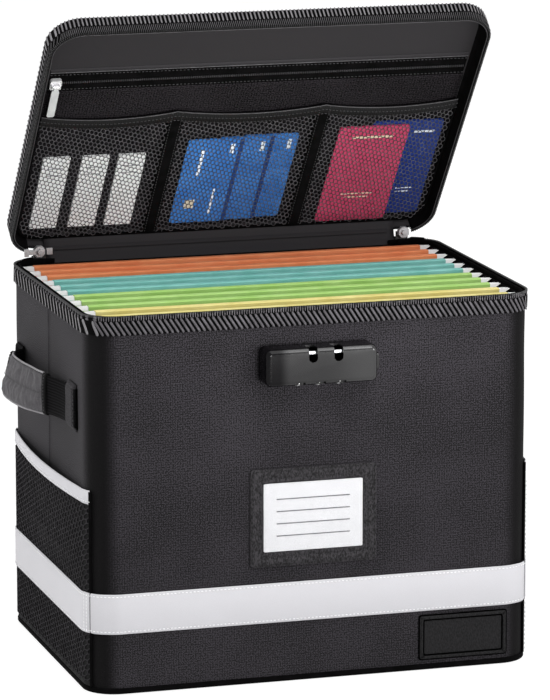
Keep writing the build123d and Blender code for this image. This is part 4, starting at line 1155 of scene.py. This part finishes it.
def lid_shell():
    """The lid's cover: its outer face and walls, over the board."""
    path = plan(step=5.0)
    rows = drawn_in(path, (0.02, 0.4, 0.75, 0.93), -17.9, (60, 0.06))
    rows += band_round(path, ((-2.5, -17.9), (-0.9, -17.6), (-0.2, -16.8), (-0.1, -15.4), (-0.1, -6.0)))
    cover = sewn("lid_cover_cloth", rows, oxford_lid, "body_fabric", LID, 0.7, closed=True, flip=True,
                 flat=(4, 0), shut=(True, False))
    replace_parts(cover, "lid_cover")


def lid_edge():
    """The lid's binding: a row of ribs at its outer edge, slanted teeth, and the coil."""
    run = cut_run(plan(), PARKED, -1)
    profile = [(0.1, -17.4), (1.0, -17.3), (1.4, -16.6), (1.4, -3.4), (1.0, -1.3), (-0.2, -1.0), (-0.9, -1.6),
               (-0.9, -2.6), (0.0, -3.2)]
    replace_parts(sewn("lid_tape", ring_of(run, profile), tape_plain, "binding_webbing", LID), "lid_binding")
    parts = {True: [], False: []}
    for sideways, part in groupby(run, lambda p: abs(p[2]) > 0.75):
        parts[sideways].append(list(part))
    ends, sides = parts[False], parts[True]
    # The lid's ribs and side ribs use lighter copies of the rib cord: painted light.
    for name, some, out, level, spacing, stamp, yarn, slot, lean in (
            ("lid_ribs", ends, 1.7, -12.9, 3.2, "lid_rib", lid_rib_yarn_painted_light, "binding_webbing", 0),
            ("lid_side_ribs", sides, 1.6, -12.9, 5.4, "lid_side_rib", side_rib_yarn_painted_light, "binding_webbing", 0),
            ("lid_slanted_teeth", ends, 1.45, -4.7, 1.65, "lid_tooth", coil_dull, "zip_coil", 25),
            ("lid_side_teeth", sides, 1.45, -4.7, 4.1, "lid_tooth", coil_dull, "zip_coil", 25)):
        stamped(name, [beside(part, out, level) for part in some], spacing, stamp, yarn, LID, lean)
    coil = stamped("lid_zip_coil", [beside(run, 0.4, -1.5)], 1.6, "coil_tooth", coil_nylon, LID)
    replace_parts(coil, "lid_zip_teeth")
    yarns("lid_lining_edge", [beside(cut_run(plan(1.6), PARKED, -1, 7.0), 0, -1.3)], 0.35, 6, coil_dull,
          LID)
    wall = ((-2.0, -1.9), (-2.4, -3.0), (-2.9, -12.0), (-3.9, -13.2), (-5.4, -13.35))
    sewn("lid_inner_wall", band_round(run, wall), tape_plain, "lining_fabric", LID, 0.3)


def lid_lining():
    """The lid's lining: its walls, cut back where the zip sliders are parked, and its floor."""
    path = plan(1.3, 6.0, 10)
    rows = band_round(path, ((0.0, -1.6), (-0.4, -2.4), (-0.9, -6.0), (-1.1, -12.2), (-2.2, -13.3),
                             (-4.0, LID_FLOOR)))
    for row, low in zip(rows, (-6.4, -6.6, -6.8)):
        row[:] = [(x, y, min(z, low) if y < -115 and 144 < abs(x) < PARKED + 1 else z) for x, y, z in row]
    rows += drawn_in(path, (0.9, 0.7, 0.4, 0.02), LID_FLOOR, (45, 0.12))
    piece = sewn("lid_lining_cloth", rows, lining_cloth, "lining_fabric", LID, 0.4, closed=True,
                 flat=(0, 4), shut=(False, True))
    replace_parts(piece, "lid_lining")


def across_lid(*profile):
    """Rows from end to end of the pocket's zip; the profile gives (height on the lid, depth) pairs."""
    return [[(-168 + 336 * i / 60, y, z) for i in range(61)] for y, z in profile]


def straight(half, y, z):
    """One straight run across the lid."""
    return [[(-half, y, z), (half, y, z)]]


def pocket_zip():
    """The lid's flat pocket: zip tape and coil, and the welt above it."""
    strip = sewn("pocket_zip_tape_cloth", across_lid(
        (50.0, -13.35), (51.0, -12.9), (58.5, -12.75), (59.3, -12.6), (61.7, -12.6), (62.5, -12.75),
        (70.0, -12.9), (71.2, -13.35)), tape_plain, "zip_coil", LID)
    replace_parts(strip, "pocket_zip_tape")
    stamped("pocket_zip_coil", straight(166, 60.5, -12.25), 1.5, "coil_tooth", coil_dull, LID)
    for tag, y in (("upper", 68.5), ("lower", 52.5)):
        stitches(f"pocket_zip_{tag}", straight(167, y, -12.7), LID)
    welt = across_lid((70.5, -13.3), (71.2, -12.5), (73.6, -12.4), (74.6, -13.3))
    sewn("pocket_zip_welt", welt, lining_cloth, "lining_fabric", LID, open_edge=True)
    yarns("pocket_zip_upper_edge", straight(168, 71.3, -12.4), 0.5, 6, coil_dull, LID)


def knit_panel_of_lid():
    """The flat pocket's knit panel, below its zip and inside the lid's rounded corners."""
    rows = []
    for y in [50.2 - 166.7 * i / 40 for i in range(41)]:
        narrow = max(0.0, -y - (ARC_Y - 6))
        half = SEAMS[-1] - (CORNER - math.sqrt(max(0.0, CORNER ** 2 - narrow ** 2)))
        rows.append([(half * (i / 30 - 1), y, -13.2 + soft((half * (i / 30 - 1), y, 3), 30, 0.1))
                     for i in range(61)])
    sewn("lid_knit_panel", rows, knit_panel, "mesh", LID, 0.3, 0.0, flip=True, flat=(40, 0))


def hem_level(x):
    """The elastic hem's height on the lid: high at the seams, lower between them."""
    for a, b in zip(SEAMS, SEAMS[1:]):
        if a <= x <= b:
            return 26.0 - 6.0 * math.sin(math.pi * (x - a) / (b - a)) ** 0.8
    return 26.0


def on_hem(drop, depth):
    """A run along the hem, this far from its upper edge."""
    return [(x, hem_level(x) + drop, depth) for x in HEM_PLACES]


def in_pocket(x, y):
    """Whether a place lies below the hem and inside the lid's rounded corners."""
    corner = max(0.0, abs(x) - ARC_X) ** 2 + max(0.0, -y - ARC_Y) ** 2
    return y < hem_level(x) - 9.0 and abs(x) < 168.8 and y > -117.0 and corner < (CORNER - 6.5) ** 2


def lid_net():
    """Three net pockets with their elastic hem and seams."""
    flat = honeycomb((3.50, -1.40), (1.565, -4.909), 130, (-172.0, 172.0, -120.0, 30.0))
    runs = [[(*p, NET_DEPTH) for p in ends] for ends in flat if all(in_pocket(*p) for p in ends)]
    net = yarns("lid_pocket_net", runs, 0.36, 3, net_grey, LID)
    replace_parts(net, "lid_mesh_pocket")
    rows = [on_hem(drop, depth) for drop, depth in
            ((-11.5, -9.3), (-11.2, -8.9), (-6.0, -8.5), (-0.8, -8.7), (0.0, -9.2), (-0.8, -9.8),
             (-11.2, -9.8), (-11.5, -9.3))]
    hem = sewn("lid_pocket_hem", rows, tape, "binding_webbing", LID)
    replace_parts(hem, "lid_pocket_elastic")
    yarns("lid_hem_fold", [on_hem(-0.5, -8.7)], 0.4, 6, coil_dull, LID)
    for tag, drop in (("upper", -5.2), ("lower", -10.0)):
        stitches(f"lid_hem_{tag}", [on_hem(drop, -8.55)], LID)
    for i, x in enumerate(SEAMS[1:-1]):
        seam, tall = f"lid_pocket_seam_{i + 1}", hem_level(x) - 1 - NET_FOOT
        section = ((-6.0, -9.5), (-5.0, -8.8), (5.0, -8.8), (6.0, -9.5), (0.0, -10.2), (-6.0, -9.5))
        sewn(seam, [[(x + dx, NET_FOOT + tall * k / 30, z) for k in range(31)] for dx, z in section],
             tape_plain, "binding_webbing", LID)
        for tag, dx in (("left", -4.0), ("right", 4.0)):
            run = [(x + dx, y, -8.8) for y in (-114.0, hem_level(x) - 3)]
            stamped(f"lid_seam_{i + 1}_stitches_{tag}", [run], 3.0, "fine_stitch", thread_dark,
                    LID)
    edge = [(x, y, -11.6) for x, y, _, _ in rounded(169.5, 119.0, 18.5, step=6.0, arc=8) if y < 24.0]
    yarns("lid_pocket_outer_seam", [from_gap(edge)], 1.4, 6, tape_plain, LID)


def hinge_strip():
    """The cloth that joins the lid to the back wall, from lining to lining."""
    line = [(121.3, 279.0), (121.8, 284.0), (123.5, 288.2), (126.0, 290.6)]
    for v, depth in ((2.0, -2.2), (4.5, -5.5), (6.8, -9.5), (9.0, -12.6), (12.0, -13.1)):
        p = LID[1] @ (Vector((0, v - HINGE_Y, depth)) * MM)
        line.append((p.y / MM, p.z / MM))
    half = 145.7
    rows = [[(-half + 2 * half * i / 48, y, z) for i in range(49)] for y, z in line]
    strip = sewn("hinge_cloth", rows, lining_cloth, "lining_fabric", UNTIED, 0.5, 0.0)
    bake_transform(strip)
    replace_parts(strip, "hinge_fabric")


# ---------------------------------------------------------------- zip heads, hooks and contents
def zip_heads():
    """The sliders' eight-sided heads and their bosses, which face forwards at the back corners."""
    head_x, head_y, head_z = 151.6, 121.2, 296.4
    for name, side in SIDES:
        build = bmesh.new()
        for radius, deep, shift, sides in ((5.4, 2.8, -0.6, 8), (2.4, 2.6, -2.4, 16)):
            made = bmesh.ops.create_cone(build, cap_ends=True, segments=sides, radius1=radius * MM,
                                         radius2=radius * 0.86 * MM, depth=deep * MM)
            turn = Matrix.Rotation(math.radians(90), 4, "X") @ Matrix.Rotation(math.radians(22.5), 4, "Z")
            place = Vector((side * head_x, head_y + shift, head_z)) * MM
            bmesh.ops.transform(build, matrix=Matrix.Translation(place) @ turn, verts=made["verts"])
        if name == "left":
            for x, y, wide, deep, tall in ((-143.6, 120.2, 4.8, 2.4, 5.2), (-158.3, 117.9, 5.6, 3.0, 3.4),
                                           (-163.2, 116.0, 3.6, 1.4, 6.0)):
                for v in bmesh.ops.create_cube(build, size=1.0)["verts"]:
                    v.co = Vector((x + v.co.x * wide, y + v.co.y * deep, head_z + 0.2 + v.co.z * tall)) * MM
        head = keep(f"{name}_slider_head", plain_mesh(build, f"{name}_slider_head"), head_zinc,
                    moving(f"{name}_zip_slider"), smooth=False)
        edge = head.modifiers.new("eased_edges", "BEVEL")
        edge.width, edge.segments = 0.25 * MM, 2


def hooks():
    """The folders' coated wire hooks, which sit on the rails' lips."""
    bent = ((160, 287.5), (169.0, 287.2), (164.6, 284.6), (160, 284.4))
    folders, rear, pitch, half_gap, half_wire, wire_level, lean = 11, 106, 21.2, 1.7, 0.7, 286, 0.25
    build = bmesh.new()
    for i in range(folders):
        for gap in (-half_gap, half_gap):
            for _, side in SIDES:
                y = rear - pitch * i + gap
                near, far = [[build.verts.new(Vector((side * x, y + out + (z - wire_level) * lean, z)) * MM)
                              for x, z in bent] for out in (-half_wire, half_wire)]
                build.faces.new(near)
                build.faces.new(list(reversed(far)))
                for j in range(len(bent)):
                    k = (j + 1) % len(bent)
                    build.faces.new((near[j], far[j], far[k], near[k]))
    bmesh.ops.recalc_face_normals(build, faces=build.faces)
    piece = keep("folder_hooks", plain_mesh(build, "folder_hooks"), hook_white, smooth=False)
    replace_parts(piece, "folder_hangers")


def contents():
    """Plain generic marks on the cards and booklets, and painted shadows beside the blue cards' edges.

    A mark is its place along X and above its cards' foot, its width, its height and its level."""
    for name, foot, material, slot, marks in (
            ("white_card_bars", -107.0, faint_ink, "white_plastic",
             [(x, up, 13.0, 1.2, 2.7) for x in (-148.6, -117.2, -87.8) for up in (70, 62)]),
            ("blue_card_bars", -108.0, white_bar, "blue_plastic",
             [(-7.5, 86, 3.2, 11.0, 3.5), (17.5, 86, 3.2, 11.0, 2.4), (39.5, 86, 3.2, 11.0, 1.3),
              (-31.0, 70, 2.4, 30.0, 3.5), (-14.0, 24, 1.6, 30.0, 3.5)]),
            # Painted shadows: dark blue strips at the blue cards' edges, where each card's edge would shade
            # the next.
            ("blue_card_edges", -108.0, painted_card_shadow, "blue_plastic",
             [(-0.7, 49, 3.4, 97.0, 3.5), (24.3, 49, 3.4, 97.0, 2.4)]),
            ("blue_card_contact", -108.0, contact_pad, "blue_plastic", [(-32.0, 22, 8.0, 10.0, 3.5)]),
            ("red_booklet_bars", -115.0, gold_bar, "red_cover",
             [(107.0, 99, 34.0, 2.4, 3.7), (107.0, 32, 26.0, 1.2, 3.7), (107.0, 28, 20.0, 1.2, 3.7)]),
            ("blue_booklet_bars", -115.0, white_bar, "navy_cover",
             [(150.0, 101, 17.0, 2.4, 1.9), (147.0, 34, 14.0, 1.2, 1.9), (145.5, 30, 11.0, 1.2, 1.9)])):
        printed(name, [(x, foot + up, wide, tall, LID_FLOOR + level) for x, up, wide, tall, level in marks],
                material, LID)


patches = [handle(name, side) for name, side in SIDES]
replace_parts(patches[0][0], "handle_patches")
body_cover()
rim()
bottom_edge()
box_lining()
corner_flaps()
pale_bands([side_pocket(name, side) for name, side in SIDES])
label()
bare_patch()
lock()
dial_figures()
lid_shell()
lid_edge()
lid_lining()
pocket_zip()
knit_panel_of_lid()
lid_net()
hinge_strip()
zip_heads()
hooks()
contents()
for stamp in STAMPS.values():
    bpy.data.objects.remove(stamp)


# ---------------------------------------------------------------- floor, light and camera
def seen_directly(tree):
    """1 for camera, mirror and see-through rays."""
    rays = add(tree, "ShaderNodeLightPath").outputs
    share = rays["Is Camera Ray"]
    for kind in ("Is Glossy Ray", "Is Transmission Ray"):
        share = add(tree, "ShaderNodeMath", {0: share, 1: rays[kind]}, operation="MAXIMUM").outputs[0]
    return share


def white_floor():
    """The studio's floor, which glows where it is seen, so that it looks pure white."""
    far, level = 20.0, -0.0005
    mesh = bpy.data.meshes.new("studio_floor")
    mesh.from_pydata([(-far, -far, level), (far, -far, level), (far, far, level), (-far, far, level)], [],
                     [(0, 1, 2, 3)])
    material, tree, shader = finish_of("white_floor_paint", 0.9)
    shader.inputs["Base Color"].default_value = srgb("#f7f7f7")
    share = add(tree, "ShaderNodeMath", {0: seen_directly(tree), 1: 0.8}, operation="MULTIPLY").outputs[0]
    glow = add(tree, "ShaderNodeEmission", {"Color": (1, 1, 1, 1), "Strength": 1.16})
    both = add(tree, "ShaderNodeMixShader", {0: share, 1: shader.outputs[0], 2: glow.outputs[0]})
    tree.links.new(both.outputs[0], tree.nodes["Material Output"].inputs["Surface"])
    mesh.materials.append(material)
    linked("studio_floor", mesh)


def room():
    """A dim white room, whose light the box takes, that is pure white where it is seen."""
    world = bpy.data.worlds.new("studio_room")
    world.use_nodes = True
    tree = world.node_tree
    tree.nodes.clear()
    dim, white = [add(tree, "ShaderNodeBackground", {"Color": (1, 1, 1, 1), "Strength": strength}).outputs[0]
                  for strength in (0.34, 1.0)]
    both = add(tree, "ShaderNodeMixShader", {0: seen_directly(tree), 1: dim, 2: white})
    add(tree, "ShaderNodeOutputWorld", {0: both.outputs[0]})
    bpy.context.scene.world = world


def softboxes():
    """The lamps: each one's place, width, power, spread and what it is aimed at."""
    middle, in_lid = (0, 0, 0.22), (0, 0.03, 0.42)
    for name, place, wide, power, spread, at in (
            ("side_softbox", (-3.4, 1.0, 0.9), 1.4, 50.0, 180, middle),
            ("low_front_softbox", (1.1, -1.6, 0.42), 0.5, 9.5, 180, middle),
            ("high_front_softbox", (0.5, -2.3, 2.5), 1.4, 34.0, 180, middle),
            ("top_softbox", (0.1, -0.7, 3.0), 1.8, 40.0, 180, middle),
            ("gridded_lid_softbox", (0.25, -2.4, 0.16), 0.22, 0.38, 14, in_lid)):
        lamp = bpy.data.lights.new(name, "AREA")
        lamp.shape, lamp.size, lamp.energy, lamp.spread = "SQUARE", wide, power, math.radians(spread)
        aim = Vector(at) - Vector(place)
        linked(name, lamp).matrix_world = (Matrix.Translation(place)
                                           @ aim.to_track_quat("-Z", "Y").to_matrix().to_4x4())


def camera():
    """A long lens from the left and slightly above, for a frame of 550 by 700 with its long side upright; the
    frame's size is not set here.
    """
    azimuth, elevation, distance = math.radians(-16.8), math.radians(11.6), 3.6145
    focal_px, tall_px, sensor = 4640.5, 700, 36.0
    target = Vector((6.62, 0, 231.41)) * MM
    back = Vector((math.sin(azimuth) * math.cos(elevation), -math.cos(azimuth) * math.cos(elevation),
                   math.sin(elevation)))
    lens = bpy.data.cameras.new("product_camera")
    lens.sensor_width, lens.lens, lens.clip_end = sensor, focal_px * sensor / tall_px, 100.0
    holder = linked("product_camera", lens)
    holder.matrix_world = (Matrix.Translation(target + back * distance)
                           @ (-back).to_track_quat("-Z", "Y").to_matrix().to_4x4())
    bpy.context.scene.camera = holder


white_floor()
room()
softboxes()
camera()
bpy.context.scene.view_settings.view_transform = "Standard"
